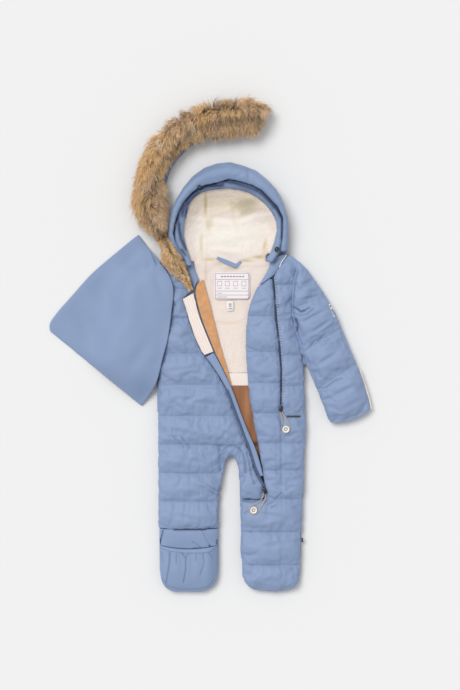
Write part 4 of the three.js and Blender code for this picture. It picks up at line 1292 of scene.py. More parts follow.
# Painted light and shade on the fleece: lit walls in the hood, shade in its crown under the brim
# and in its hollow, and shaded folds and seams.
FLEECE_SHADES = (
    Shade((229, 236), (42, 22), (0.855, 0.80, 0.725)),
    Shade((229, 204), (40, 11), (0.79, 0.675, 0.545), 0.95),
    Shade((226, 280), (22, 16), (0.80, 0.72, 0.71), 0.7),
    Shade((206, 203), (14, 10), (0.76, 0.66, 0.54), 0.6),
    Shade((245, 207), (11, 7), (0.50, 0.45, 0.30), 0.85),
    Shade((250, 203), (8, 4), (0.46, 0.42, 0.27), 0.5),
    Shade((206, 204), (1.6, 13), (0.55, 0.46, 0.26), 0.75),
    Shade((209, 224), (4, 8), (0.66, 0.57, 0.38), 0.6),
    Shade((236, 222), (3, 8), (0.72, 0.66, 0.50), 0.35),
    Shade((202, 246), (1.4, 12), (0.70, 0.57, 0.36), 0.6),
    Shade((210, 259.6), (7, 1.6), (0.60, 0.46, 0.26), 0.8),
    Shade((220, 263.6), (7, 2.2), (0.60, 0.47, 0.28), 0.6),
    Shade((232, 269), (9, 1.8), (0.60, 0.48, 0.30), 0.7),
    Shade((246, 261), (8, 1.8), (0.58, 0.44, 0.24), 0.8),
    Shade((259, 257.6), (6, 1.8), (0.56, 0.42, 0.22), 0.8),
    Shade((232, 259), (12, 2.6), (0.66, 0.60, 0.58), 0.45),
    Shade((265, 249), (2.6, 11), (0.66, 0.52, 0.32), 0.6),
    Shade((206, 272), (2.0, 14), (0.66, 0.55, 0.42), 0.65),
    Shade((211, 296), (2.0, 22), (0.72, 0.60, 0.48), 0.45),
    Shade((226, 323), (18, 1.8), (0.74, 0.60, 0.48), 0.6),
    Shade((248, 304), (6, 20), (0.78, 0.66, 0.58), 0.45),
)
FLEECE_CREASES = folds(
    (206, 194, 206.6, 218, 0.0034, 0.003), (207, 220, 214, 232, 0.0026, 0.004),
    (190, 214, 206, 218, 0.0030, 0.006), (206, 218, 236, 220, 0.0030, 0.006),
    (236, 220, 256, 213, 0.0030, 0.006), (256, 213, 270, 213, 0.0026, 0.006),
    (207, 256.6, 216, 260, 0.0014, 0.003), (216, 260, 228, 267, 0.0016, 0.003),
    (228, 267, 236, 270, 0.0014, 0.003), (236, 270, 245, 268, 0.0013, 0.003),
    (240, 263, 255, 258, 0.0020, 0.003), (255, 258, 264, 257, 0.0018, 0.003),
    (272, 232, 268, 242, 0.0034, 0.004), (268, 242, 264, 254, 0.0034, 0.004),
    (233, 204, 238, 214, 0.0028, 0.004), (232, 200, 236, 224, 0.0022, 0.006),
    (215, 240, 246, 236, -0.0030, 0.012), (202, 236, 202.6, 252, 0.0030, 0.003),
    (203, 258, 208, 284, 0.0012, 0.004), (208, 282, 213, 306, 0.0028, 0.005),
    (214, 250, 240, 254, -0.0030, 0.006), (212, 306, 224, 316, 0.0012, 0.006),
    (206, 322, 232, 325, 0.0024, 0.0026), (230, 325, 247, 321, 0.0024, 0.0026),
    (232, 330, 238, 368, 0.0016, 0.006), (244, 286, 248, 316, 0.0018, 0.006),
    (226, 338, 230, 360, 0.0014, 0.005),
)


@dataclass(frozen=True)
class FleeceLining:
    """The cream fleece: curly in the hood and smooth on the chest."""

    size: FleeceSize

    # Radius in metres of the fillers at its joins, and their depth under the chest's top.
    FILLER, FILLER_SINK = 0.0052, 0.0048
    WAVE = 0.0012
    # Strip in metres in which the loops get low, what is left of them, and their middle.
    LOOP_EASE, LOOP_LEAST, LOOP_MIDDLE = 0.004, 0.12, 0.6

    def build(self, frame: dict, draft: Draft) -> bpy.types.Object:
        """Makes the fleece, its loops, its folds, and its colours with painted light and shade.

        Args:
            draft: Where the draft lies.

        Returns:
            The fleece.
        """
        size = self.size
        whole = node_bmesh(frame, (size.side, *size.body))
        back = node_bmesh(frame, (size.back,))
        middle = sum((v.co for v in back.verts), Vector()) / len(back.verts)
        bmesh.ops.scale(
            back, vec=(size.overlap, size.overlap, 1.0), verts=back.verts,
            space=Matrix.Translation(-middle),
        )
        absorb(whole, back)
        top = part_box(size.body[0])[1][2]
        fillers(whole, size.joins, self.FILLER, top - self.FILLER_SINK, draft)
        obj = remeshed("fleece_lining", whole, size.voxel)
        soft = Padding((), FLEECE_CREASES, wave=self.WAVE)
        gather(obj, soft, draft)
        press(obj, soft, draft)
        self.curl(obj, draft)
        paint(obj, size.base, FLEECE_SHADES, (), draft)
        return obj

    def curl(self, obj: bpy.types.Object, draft: Draft) -> None:
        """Raises the loops, tall in the hood and low on the chest.

        Args:
            obj: The fleece.
            draft: Where the draft lies.
        """
        size = self.size
        points = points_of(obj)
        normals = normals_of(obj)
        scale = 1.0 / size.loop
        cells = np.array([noise.voronoi(Vector(p) * scale)[0][0] for p in points])
        above = points[:, 1] - draft.at(0, size.neck).y
        hood = np.clip(above / self.LOOP_EASE, self.LOOP_LEAST, 1.0)
        lift = size.lump * hood * (self.LOOP_MIDDLE - cells) * top_share(normals)
        set_points(obj, points + normals * lift[:, None])

    def dress(self, obj: bpy.types.Object, wardrobe: Wardrobe) -> None:
        """Gives the fleece its finish and hides the CAD nodes that it stands for.

        Args:
            obj: The fleece.
            wardrobe: The materials.
        """
        wardrobe.dress(obj, Cloth.FLEECE)
        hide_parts(self.size.side, self.size.back, *self.size.body)


BRIM_CREASES = folds(
    (190, 181, 216, 169, 0.0010, 0.004), (214, 168, 244, 171, 0.0012, 0.003),
    (246, 172, 252, 186, 0.0012, 0.004), (236, 180, 247, 172, 0.0010, 0.004),
    (262, 182, 278, 202, 0.0010, 0.005), (171, 232, 173, 216, 0.0014, 0.003),
    (284, 206, 286, 238, 0.0010, 0.003),
)
# Painted shade on the brim: darker on its left and along one crease, lighter on its right.
BRIM_SHADES = (
    Shade((205, 178), (26, 10), (0.185, 0.255, 0.405), 0.9),
    Shade((258, 182), (18, 12), (0.225, 0.305, 0.475), 0.5),
    Shade((247, 176), (1.6, 9), (0.165, 0.23, 0.375), 0.5),
)
BAND_CREASES = folds(
    (258, 191, 255, 197, 0.0022, 0.003), (224, 182, 221, 190, 0.0030, 0.003),
    (276, 207, 272, 213, 0.0020, 0.003), (276, 238, 281, 243, 0.0012, 0.003),
)
BAND_CUTS = (
    Cut(((183, 212), (187, 202), (193, 195.6), (199, 190.6), (208, 187.4), (221, 186.6)), 0.011,
        0.0058, whole=True),
    Cut(((224, 182), (232, 183), (242, 185.2), (254, 188.4), (262, 193), (270, 201.4),
         (277.4, 209.6), (283, 219)), 0.009, 0.0042, whole=True),
    Cut(((174.6, 244), (174.4, 234), (176, 225), (179.4, 214)), 0.007, 0.0026, whole=True),
    Cut(((185.4, 249), (181.4, 240), (180.4, 226)), 0.0050, 0.0022),
    Cut(((187, 217), (187.6, 208), (192, 201), (198, 196)), 0.0050, 0.0022),
    Cut(((281.6, 222), (281.8, 240)), 0.0036, 0.0018),
    Cut(((278.4, 255), (273, 263.4)), 0.0030, 0.0018),
    Cut(((182.6, 251), (186, 256)), 0.0040, 0.0014),
    Cut(((197, 196.6), (208, 193), (222, 190.6), (238, 191), (250, 195), (262, 203),
         (272, 214)), 0.0040, 0.0018),
)
BAND_SHADOWS = (
    Shadow(((182.4, 216), (185, 208.6), (188.4, 201.6), (194, 196), (201, 191.8), (209, 188.8),
            (222, 187.4)), 0.0070, 0.96),
    Shadow(((224, 184), (236, 186), (246, 189.2), (255.6, 192.4), (262.4, 196.6), (269.6, 204),
            (277.2, 212.4), (282.6, 221.4)), 0.0052, 0.94),
    Shadow(((174, 245), (174.2, 235), (176, 225), (179, 214), (184, 206)), 0.0032, 0.92),
    Shadow(((178.6, 218), (179.6, 230), (182, 240), (186.4, 250)), 0.0040, 0.92),
    Shadow(((186.6, 218), (187.6, 207), (192.6, 200.6), (199, 196)), 0.0030, 0.9),
    Shadow(((182, 250.6), (186.4, 256.4)), 0.0022, 0.95, (0.06, 0.045, 0.05)),
    Shadow(((281.4, 222), (281.2, 240)), 0.0026, 0.9),
    Shadow(((272, 264), (278, 255), (282, 241)), 0.0020, 0.6),
    Shadow(((184, 268), (192.4, 266.4)), 0.0020, 0.8),
    Shadow(((188, 232), (192, 214), (198, 200.6), (208, 194.4), (222, 192), (238, 192.4),
            (250, 196), (262, 204), (273, 217)), 0.0022, 0.75),
)
PANEL_CREASES = folds(
    (126, 248, 150, 300, 0.0030, 0.016), (96, 276, 126, 330, 0.0036, 0.020),
    (72, 300, 100, 352, 0.0024, 0.018), (150, 262, 166, 300, 0.0022, 0.010),
    (110, 300, 160, 366, -0.0018, 0.020), (128, 372, 150, 340, 0.0018, 0.012),
)

FLAP_CUTS = (
    Cut(((163.6, 529.4), (161.8, 536), (160.6, 542)), 0.0026, 0.0013),
    Cut(((203, 529.6), (206, 537), (210.6, 545.4)), 0.0026, 0.0014),
    Cut(((206, 533), (213, 539), (217, 543)), 0.0014, 0.0016),
    Cut(((193, 541), (198, 544.6), (201.6, 548)), 0.0022, 0.0016),
)
FLAP_SHADOWS = (
    Shadow(((174, 528.8), (206, 528.6)), 0.0016, 0.95),
    Shadow(((194, 548), (202, 548)), 0.0034, 0.95),
    Shadow(((209.6, 544.6), (211.4, 547.6)), 0.0022, 0.9),
    Shadow(((160.4, 538), (160.6, 543)), 0.0018, 0.9),
    Shadow(((216.8, 539), (217, 543)), 0.0018, 0.9),
    Shadow(((163.6, 529.6), (160.8, 541)), 0.0014, 0.6),
)
# The gathers under the pocket's elastic edge, its stitching and its hem.
POCKET_CUTS = (
    Cut(((170.6, 551), (170.2, 562), (166.6, 582)), 0.0026, 0.0014),
    Cut(((177, 552.6), (177.2, 562)), 0.0016, 0.0013),
    Cut(((182.8, 551.6), (186.2, 556.6), (186.4, 567), (184, 581)), 0.0028, 0.0014),
    Cut(((189.4, 551.8), (186.6, 556)), 0.0020, 0.0012),
    Cut(((203.6, 552), (204.6, 562), (201, 573)), 0.0018, 0.0015),
    Cut(((209, 551), (213.4, 556.6)), 0.0014, 0.0013),
    Cut(((162, 551), (163, 561)), 0.0014, 0.0013),
    Cut(((196.4, 552.4), (196.6, 559)), 0.0014, 0.0013),
    Cut(((160, 546.8), (170, 550), (185, 551.8), (200, 552), (210, 551), (217, 546.6)), 0.0014,
        0.0011),
    Cut(((162.6, 578), (168, 585), (180, 588), (200, 588), (209, 585.4), (214.4, 578)), 0.0014,
        0.0012),
)
POCKET_SHADOWS = tuple(
    Shadow(cut.route, 0.0015, 0.38, (0.10, 0.155, 0.29)) for cut in POCKET_CUTS
)
# The brown lining's streaks and patches, and painted shade that gets darker towards the closed end
# of the opening.
LOWER_SHADES = (
    Shade((247, 402), (3, 14), (0.46, 0.22, 0.10), 0.55),
    Shade((240, 398), (1.6, 16), (0.24, 0.10, 0.04), 0.45),
    Shade((251, 424), (1.6, 14), (0.20, 0.08, 0.03), 0.55),
    Shade((245, 428), (1.4, 12), (0.42, 0.19, 0.085), 0.5),
    Shade((255, 443.4), (6, 2.4), (0.05, 0.022, 0.012), 0.95),
    Shade((261, 470), (9, 24), (0.012, 0.010, 0.012), 0.98),
)

FORMS = (
    FormSize("neck_panel_cloth", ("neck_panel",), Cloth.SHELL, levels=2, creases=PANEL_CREASES,
             variant="shell_flat", flat=(0.285, 0.36), share=0.62),
    FormSize("sleeve_left_cloth", ("sleeve_left",), Cloth.SHELL, levels=2),
    FormSize("hood_brim_cloth", ("hood_brim",), Cloth.SHELL, voxel=0.0032, levels=0,
             creases=BRIM_CREASES, shades=BRIM_SHADES, variant="shell_painted_shade"),
    FormSize("hood_band_cloth", ("hood_band",), Cloth.SHELL, voxel=0.0024, levels=0,
             creases=BAND_CREASES, cuts=BAND_CUTS, shadows=BAND_SHADOWS, variant="shell_painted_shade"),
    FormSize("collar_left_cloth", ("collar_left",), Cloth.SHELL, levels=2),
    FormSize("collar_right_cloth", ("collar_right",), Cloth.SHELL, levels=3,
             creases=(Crease((272, 262), (285, 258), 0.002, 0.004),)),
    FormSize("bootie_flap_cloth", ("bootie_flap_left",), Cloth.SHELL, levels=4,
             creases=(Crease((172, 537), (196, 538), -0.0012, 0.008),), cuts=FLAP_CUTS,
             shadows=FLAP_SHADOWS, variant="shell_painted_shade"),
    FormSize("bootie_pocket_cloth", ("bootie_pocket_left",), Cloth.SHELL, levels=3,
             cuts=POCKET_CUTS, shadows=POCKET_SHADOWS, variant="shell_painted_shade"),
    FormSize("placket_strip_cloth", ("placket_strip",), Cloth.SHELL, levels=3),
    FormSize("placket_patch_knit", ("placket_patch",), Cloth.RIB, levels=4, rib=0.0056),
    FormSize("facing_velour", ("facing_left",), Cloth.VELOUR, levels=3, flat=(0.032, 0.262),
             share=0.52),
    FormSize("lining_band_knit", ("lining_band",), Cloth.RIB, levels=3, rib=0.0034,
             flat=(0.058, 0.0275), share=0.95),
    FormSize("lining_lower_velour", ("lining_lower",), Cloth.VELOUR, levels=3,
             shades=LOWER_SHADES, base=(0.285, 0.122, 0.052), variant="velour_low",
             flat=(0.055, 0.212), share=0.60),
    FormSize("fur_tape_cloth", ("fur_tape",), Cloth.SHELL, levels=2, flat=(0.0215, 0.150),
             share=0.98),
    FormSize("sleeve_edge_knit", ("sleeve_edge",), Cloth.RIB, levels=2, narrow=True),
    FormSize("hanger_loop_tape", ("hanger_loop",), Cloth.SHELL, levels=2, narrow=True),
    FormSize("size_tag_cloth", ("size_tag",), Cloth.LABEL, levels=1, flat=(0.0165, 0.023),
             share=0.98),
    FormSize("sleeve_patch_cloth", ("sleeve_patch",), Cloth.LABEL, levels=2, narrow=True),
)


# Fur


@dataclass(frozen=True)
class FurSize:
    """The imitation fur of the hood's trim.

    Attributes:
        strands: Number of strands in all.
        tufts: Number of tufts that they gather into.
        core: Share of the CAD section that the dense underfur fills.
        length: Usual length of a strand, in metres.
        root: Width of a strand at its root, in metres.
        parts: Number of joined pieces.
        scatter: Scatter of the strands' ends, as a share of their tuft's length.
        strays: Share of the strands that stick out.
        under: Share of the strands that stay short.
        lowest: Height in metres under which no strand bends.
        brightest: Most that a colour channel may reach.
        ground: Colour of the underfur.
    """

    strands: int = 26100
    tufts: int = 400
    core: float = 0.64
    length: float = 0.047
    root: float = 0.00088
    parts: int = 3
    scatter: float = 0.12
    strays: float = 0.02
    under: float = 0.24
    lowest: float = 0.0012
    brightest: float = 0.94
    ground: Color = (0.24, 0.155, 0.095)


@dataclass(frozen=True)
class FurRow:
    """One section of the fur strip.

    Attributes:
        x: Column of its middle, in squares.
        y: Row of its middle, in squares.
        width: Width in squares.
    """

    x: float
    y: float
    width: float


FUR_ROWS = tuple(
    FurRow(*row)
    for row in (
        (262.6, 120.4, 12), (258.6, 119, 23), (253, 118, 30), (244, 117.4, 33),
        (235, 118.2, 33), (224, 120, 33),
        (210, 122, 32), (197.4, 124.6, 29), (185.8, 129.4, 26.5), (175.6, 137.6, 25),
        (166.4, 146.6, 24), (158.2, 157, 23), (152.2, 168.4, 22.5), (149.9, 181, 24.6),
        (150, 193, 29), (150, 205, 29),
        (152.2, 216, 23), (157.6, 226.6, 15), (162.8, 237, 10), (167.4, 248, 10),
        (171.4, 258, 15), (178, 268.6, 12), (185.6, 280, 7), (191, 290.4, 3.4),
    )
)
FUR_TINTS: tuple[tuple[float, Color], ...] = (
    (0.34, (0.80, 0.56, 0.33)),
    (0.22, (0.90, 0.58, 0.25)),
    (0.20, (0.62, 0.44, 0.29)),
    (0.14, (0.96, 0.77, 0.54)),
    (0.10, (0.22, 0.14, 0.085)),
)
FUR_GOLD: Color = (0.92, 0.62, 0.29)
FUR_DUSK: Color = (0.40, 0.29, 0.205)
# Where the pile parts, with painted shade along the parting: place along the strip, place across
# it.
FUR_PARTING = ((0.0, 0.02), (0.28, 0.06), (0.40, 0.40), (0.56, 0.36), (0.64, -0.2),
               (0.74, -0.2), (0.80, 0.3), (1.0, 0.3))


@dataclass(frozen=True)
class Tuft:
    """A group of strands that lean and end together.

    Attributes:
        along: Place along the strip, from 0 to 1.
        across: Place across it, from -1 on the outer side to 1 on the inner one.
        tip: Where it ends.
        tint: Its colour.
        length: Its length in metres.
    """

    along: float
    across: float
    tip: Vector
    tint: Vector
    length: float


class FurPile:
    """Many tapered three-sided strands in one mesh."""

    # Thickness at the root and the two bends, as a share of the width at the root.
    TAPER = (1.0, 0.85, 0.55)

    def __init__(self) -> None:
        """Starts without strands."""
        self.verts: list[Vector] = []
        self.faces: list[tuple[int, ...]] = []
        self.colors: list[tuple[float, ...]] = []

    def add(
        self,
        stations: Sequence[Vector],
        tones: Sequence[tuple[float, ...]],
        width: float,
        turn: float,
    ) -> None:
        """Adds one strand.

        Args:
            stations: Root, two bends and tip.
            tones: Colour at each of them.
            width: Width at the root in metres.
            turn: Turn of its section in radians.
        """
        direction = (stations[-1] - stations[0]).normalized()
        side = direction.cross(Vector((math.cos(turn), math.sin(turn), 0.7))).normalized()
        other = direction.cross(side)
        start = len(self.verts)
        for spot, tone, share in zip(stations, tones, self.TAPER):
            for corner in range(3):
                angle = math.tau * corner / 3
                radius = width * 0.5 * share
                self.verts.append(
                    spot + side * radius * math.cos(angle) + other * radius * math.sin(angle)
                )
                self.colors.append((*tone, 1.0))
        self.verts.append(stations[-1])
        self.colors.append((*tones[-1], 1.0))
        for ring in (0, 3):
            for corner in range(3):
                a, b = start + ring + corner, start + ring + (corner + 1) % 3
                self.faces.append((a, b, b + 3, a + 3))
        for corner in range(3):
            self.faces.append((start + 6 + corner, start + 6 + (corner + 1) % 3, start + 9))
        self.faces.append((start + 2, start + 1, start))

    def object(self, name: str) -> bpy.types.Object:
        """Turns the strands into an object.

        Args:
            name: Object name.

        Returns:
            The object.
        """
        mesh = bpy.data.meshes.new(name)
        mesh.from_pydata(self.verts, [], self.faces)
        layer = mesh.color_attributes.new("tint", "BYTE_COLOR", "POINT")
        layer.data.foreach_set("color", np.array(self.colors, np.float32).ravel())
        return make_object(name, mesh)


class FurTrim:
    """The long fur strip: a dense core and thousands of tapered strands."""

    # Sides and rings of the core.
    CORE_SIDES, CORE_RINGS = 14, 72
    # Heights in metres where a ray misses the CAD strip, and the least half height.
    MISSED_TOP, MISSED_BASE, THINNEST = 0.03, 0.0, 0.003
    # How far the tufts and the strands spread past the section's sides, and its last turn.
    TUFT_SPREAD, STRAND_SPREAD, LAST_TURN = 1.2, 1.22, 1.25
    PARTING_WIDTH = 0.15
    # Tufts before and after a strand that it may lean to, and how much nearness along counts.
    WINDOW, NEARNESS = 16, 38
    # A strand's two bends: place along it, and how far it bows out in lengths of its tuft.
    BENDS = ((0.30, 0.20), (0.68, 0.16))
    # Brightness of a strand from its root to its tip, and of a dark tip.
    FADES, DARK_TIP = (0.36, 1.1, 1.42, 1.1), 0.2

    def __init__(self, size: FurSize, draft: Draft) -> None:
        """Reads the strip's sections off the CAD solid.

        Args:
            size: Sizes of the fur.
            draft: Where the draft lies.
        """
        self.size = size
        self.draft = draft
        self.random = random.Random(SEED)
        self.line: list[Vector] = []
        self.half: list[float] = []
        self.tall: list[float] = []

    def read(self, frame: dict) -> None:
        """Measures the height of the CAD strip at each section.
        """
        tree = Surface([frame["nodes"]["fur_trim"]]).tree
        for row in FUR_ROWS:
            spot = self.draft.at(row.x, row.y)
            far = Vector((0, 0, RAY_START))
            up, _, _, _ = tree.ray_cast(spot + far, -far)
            low, _, _, _ = tree.ray_cast(spot - far, far)
            top = up.z if up else self.MISSED_TOP
            base = low.z if low else self.MISSED_BASE
            self.line.append(Vector((spot.x, spot.y, (top + base) / 2)))
            self.half.append(row.width * SQUARE / 2)
            self.tall.append(max(self.THINNEST, (top - base) / 2))

    def section(self, along: float) -> tuple[Vector, Vector, Vector, float, float]:
        """The strip at a place along it.

        Args:
            along: Position from 0 to 1.

        Returns:
            Middle, direction along, direction across, half width and half height.
        """
        place = min(along * (len(self.line) - 1), len(self.line) - 1.001)
        i = int(place)
        t = place - i
        middle = self.line[i].lerp(self.line[i + 1], t)
        run = (self.line[i + 1] - self.line[i]).normalized()
        across = Vector((-run.y, run.x, 0)).normalized()
        tail = math.sqrt(min(1.0, along / 0.03 + 0.3))
        half = (self.half[i] + (self.half[i + 1] - self.half[i]) * t) * tail
        tall = (self.tall[i] + (self.tall[i + 1] - self.tall[i]) * t) * tail
        return middle, run, across, half, tall

    def core_piece(self) -> bpy.types.Object:
        """The dense underfur that the strands stand on.

        Returns:
            The core, a closed lumpy body.
        """
        bm = bmesh.new()
        sides, steps = self.CORE_SIDES, self.CORE_RINGS
        rings = []
        for step in range(steps):
            middle, _, across, half, tall = self.section(step / (steps - 1) * 0.985 + 0.01)
            end = math.sin(math.pi * min(1.0, (min(step, steps - 1 - step) + 1.5) / 8) / 2)
            ring = []
            for side in range(sides):
                turn = 2 * math.pi * side / sides
                lump = 1 + 0.16 * noise.noise(Vector((step * 0.9, side * 1.3, 2.0)))
                size = self.size.core * lump * end
                ring.append(
                    bm.verts.new(
                        middle
                        + across * half * size * math.cos(turn)
                        + Vector((0, 0, tall * size * math.sin(turn)))
                    )
                )
            rings.append(ring)
        for first, second in zip(rings, rings[1:]):
            for side in range(sides):
                other = (side + 1) % sides
                bm.faces.new((first[side], first[other], second[other], second[side]))
        bm.faces.new(rings[0])
        bm.faces.new(rings[-1])
        obj = from_bmesh("fur_core", bm)
        refine(obj)
        tint = obj.data.color_attributes.new("tint", "BYTE_COLOR", "POINT")
        ground = np.array([*self.size.ground, 1.0], np.float32)
        shade = np.tile(ground, len(obj.data.vertices))
        tint.data.foreach_set("color", shade)
        return obj

    def skin(self, along: float, across: float, share: float) -> Vector:
        """A point on the upper side of the strip's section.

        Args:
            along: Place along the strip.
            across: Place across it, from -1 to 1 and a little past.
            share: Share of the full section, 1 on its outline.

        Returns:
            The point.
        """
        middle, _, side, half, tall = self.section(along)
        turn = math.pi / 2 * max(-self.LAST_TURN, min(self.LAST_TURN, across))
        return (
            middle
            + side * half * share * math.sin(turn)
            + Vector((0, 0, tall * share * math.cos(turn)))
        )

    def parting(self, along: float, across: float) -> float:
        """How near a place is to the parting of the pile.

        Args:
            along: Place along the strip.
            across: Place across it.

        Returns:
            From 0 far away to 1 on the parting.
        """
        middle = float(np.interp(along, *zip(*FUR_PARTING)))
        return math.exp(-(((across - middle) / self.PARTING_WIDTH) ** 2))

    def flow(self, along: float, across: float) -> Vector:
        """Direction in which the pile lies at a place, seen from above.

        Args:
            along: Place along the strip.
            across: Place across it.

        Returns:
            A flat direction of length 1 or less.
        """
        _, run, side, _, _ = self.section(along)
        sway = noise.noise(Vector((along * 9, across * 0.8, 4.0)))
        fan = noise.noise(Vector((along * 21, across * 1.6, 9.0)))
        down = Vector((0.14 + 0.5 * sway, -1.0, 0.0))
        way = down * 0.62 + side * (0.55 * across + 0.55 * fan) + run * 0.25 * sway
        way -= run * 1.0 * max(0.0, 1.0 - along / 0.07)
        return way.normalized()

    def tufts(self) -> list[Tuft]:
        """Spreads the tufts evenly over the strip.

        Returns:
            The tufts in order along the strip.
        """
        draw = self.random
        weights, tints = zip(*FUR_TINTS)
        out = []
        for index in range(self.size.tufts):
            along = (index + draw.random()) / self.size.tufts
            across = draw.uniform(-self.TUFT_SPREAD, self.TUFT_SPREAD)
            middle, _, side, half, tall = self.section(along)
            slim = min(1.0, half / 0.030)
            length = self.size.length * slim * draw.uniform(0.7, 1.15)
            length *= 1.0 - 0.5 * max(0.0, 1.0 - along / 0.06)
            root = self.skin(along, across, 0.8)
            tip = root + self.flow(along, across) * length * 0.85
            reach = (tip - middle).dot(side) / half
            limit = draw.uniform(0.74, 0.98)
            if abs(reach) > limit:
                tip -= side * half * (abs(reach) - limit) * math.copysign(1.0, reach)
                reach = math.copysign(limit, reach)
            inside = max(0.0, 1.0 - reach * reach)
            tip.z = middle.z + tall * (math.sqrt(inside) * draw.uniform(0.9, 1.02) - 0.12)
            ends = min(along, 1 - along)
            if ends < 0.02:
                tip.z = middle.z + tall * draw.uniform(-0.4, 0.7)
            patch = noise.noise(Vector((along * 13, across * 1.1, 21.0)))
            tint = Vector(draw.choices(tints, weights)[0]).lerp(
                Vector(FUR_GOLD if patch > 0 else FUR_DUSK), min(0.85, abs(patch) * 2.6)
            )
            out.append(Tuft(along, across, tip, tint, length))
        return out

    def strands(self) -> list[bpy.types.Object]:
        """Grows the strands in a few joined pieces.

        Returns:
            The pieces.
        """
        draw = self.random
        tufts = self.tufts()
        pieces = []
        per_part = self.size.strands // self.size.parts
        for part in range(self.size.parts):
            pile = FurPile()
            for _ in range(per_part):
                along = (part + draw.random()) / self.size.parts
                across = draw.uniform(-self.STRAND_SPREAD, self.STRAND_SPREAD)
                slot = min(int(along * len(tufts)), len(tufts) - 1)
                near = tufts[max(0, slot - self.WINDOW) : slot + self.WINDOW]
                tuft = min(
                    near,
                    key=lambda t: (t.across - across) ** 2
                    + (self.NEARNESS * (t.along - along)) ** 2,
                )
                self.strand(along, across, tuft, pile)
            pieces.append(pile.object(f"fur_pile_{part}"))
        return pieces

    def strand(self, along: float, across: float, tuft: Tuft, pile: FurPile) -> None:
        """Adds one strand that leans towards its tuft's end.

        Args:
            along: Place along the strip.
            across: Place across it.
            tuft: The tuft that it belongs to.
            pile: The strands so far.
        """
        draw, size = self.random, self.size
        root = self.skin(along, across, size.core * 0.9)
        spread = tuft.length * size.scatter
        scatter = Vector((draw.gauss(0, spread), draw.gauss(0, spread), draw.gauss(0, spread / 2)))
        stray = 1.0 if draw.random() > size.strays else draw.uniform(1.25, 1.7)
        free = self.skin(along, across, 0.9) + self.flow(along, across) * tuft.length * 0.36
        tip = root + (tuft.tip.lerp(free, draw.uniform(0.2, 0.75)) + scatter - root) * stray
        tip.z = max(tip.z, size.lowest)
        out = (self.skin(along, across, 1.0) - root).normalized()
        under = draw.random() < size.under
        if under:
            lay = self.flow(along, across) * 0.25 + out * 0.5
            tip = root + (lay + scatter / tuft.length) * tuft.length * 0.6
        bends = [root.lerp(tip, place) + out * tuft.length * bow for place, bow in self.BENDS]
        for bend in bends:
            bend.z = max(bend.z, size.lowest)
        # Painted shade darkens the strands on the parting and the short ones under the pile;
        # strands at the rim are darker too.
        ground = 1.12 - 0.70 * self.parting(along, across)
        rim = max(0.0, abs(across) - 0.8)
        shade = draw.uniform(0.62, 1.62) * ground * (1.0 - 0.7 * rim) * (0.7 if under else 1.0)
        dark_tip = draw.random() < 0.16 + 1.3 * rim
        fades = (*self.FADES[:3], self.DARK_TIP) if dark_tip else self.FADES
        weights, tints = zip(*FUR_TINTS)
        other = draw.choices(tints, weights)[0]
        blend = tuft.tint.lerp(Vector(other), draw.uniform(0.1, 0.6))
        most = size.brightest / max(blend)
        tones = [tuple(blend * min(shade * fade, most)) for fade in fades]
        width = size.root * (0.75 if stray > 1 else 1.0)
        pile.add((root, *bends, tip), tones, width, draw.uniform(0, math.tau))

    def build(self, frame: dict) -> list[bpy.types.Object]:
        """Makes the core and the strands.


        Returns:
            The core first, then the pile.
        """
        self.read(frame)
        return [self.core_piece(), *self.strands()]

    def dress(self, pieces: Sequence[bpy.types.Object], wardrobe: Wardrobe) -> None:
        """Gives the fur its colours and hides the CAD node that it stands for.

        Args:
            pieces: The core and the pile.
            wardrobe: The materials.
        """
        for piece in pieces:
            wardrobe.dress(piece, Cloth.FUR)
        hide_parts("fur_trim")


# Trims


def smooth_route(route: Sequence[Point], pitch: float, draft: Draft) -> list[Vector]:
    """Spaces points evenly along a route of the draft.

    Args:
        route: Points in squares.
        pitch: Spacing in metres.
        draft: Where the draft lies.

    Returns:
        Points at height 0.
    """
    spots = [draft.at(x, y) for x, y in route]
    out = [spots[0]]
    carried = 0.0
    for first, second in zip(spots, spots[1:]):
        run = second - first
        place = pitch - carried
        while place < run.length:
            out.append(first + run.normalized() * place)
            place += pitch
        carried = run.length - (place - pitch)
    return out


def curved(route: Sequence[Point], steps: int = 8) -> list[Point]:
    """Rounds a route through its own points.

    Args:
        route: Points in squares.
        steps: New points for each stretch.

    Returns:
        The rounded route.
    """
    ends = [route[0], *route, route[-1]]
    out: list[Point] = []
    for i in range(1, len(ends) - 2):
        a, b, c, d = (np.array(ends[i + k], float) for k in (-1, 0, 1, 2))
        for step in range(steps):
            t = step / steps
            spot = 0.5 * (
                2 * b + (c - a) * t + (2 * a - 5 * b + 4 * c - d) * t**2
                + (3 * b - a - 3 * c + d) * t**3
            )
            out.append((float(spot[0]), float(spot[1])))
    out.append(route[-1])
    return out


def lathe(profile: Sequence[Point], sides: int = 32) -> bmesh.types.BMesh:
    """Spins a profile about the vertical into a closed body.

    Args:
        profile: Radius and height pairs from the underside to the top, in metres.
        sides: Number of sides.

    Returns:
        The body, standing on the origin.
    """
    bm = bmesh.new()
    verts = [bm.verts.new((radius, 0.0, height)) for radius, height in profile]
    edges = [bm.edges.new(pair) for pair in zip(verts, verts[1:])]
    bmesh.ops.spin(
        bm, geom=verts + edges, cent=(0, 0, 0), axis=(0, 0, 1), dvec=(0, 0, 0),
        angle=2 * math.pi, steps=sides, use_duplicate=False,
    )
    bmesh.ops.remove_doubles(bm, verts=bm.verts, dist=1e-6)
    return bm


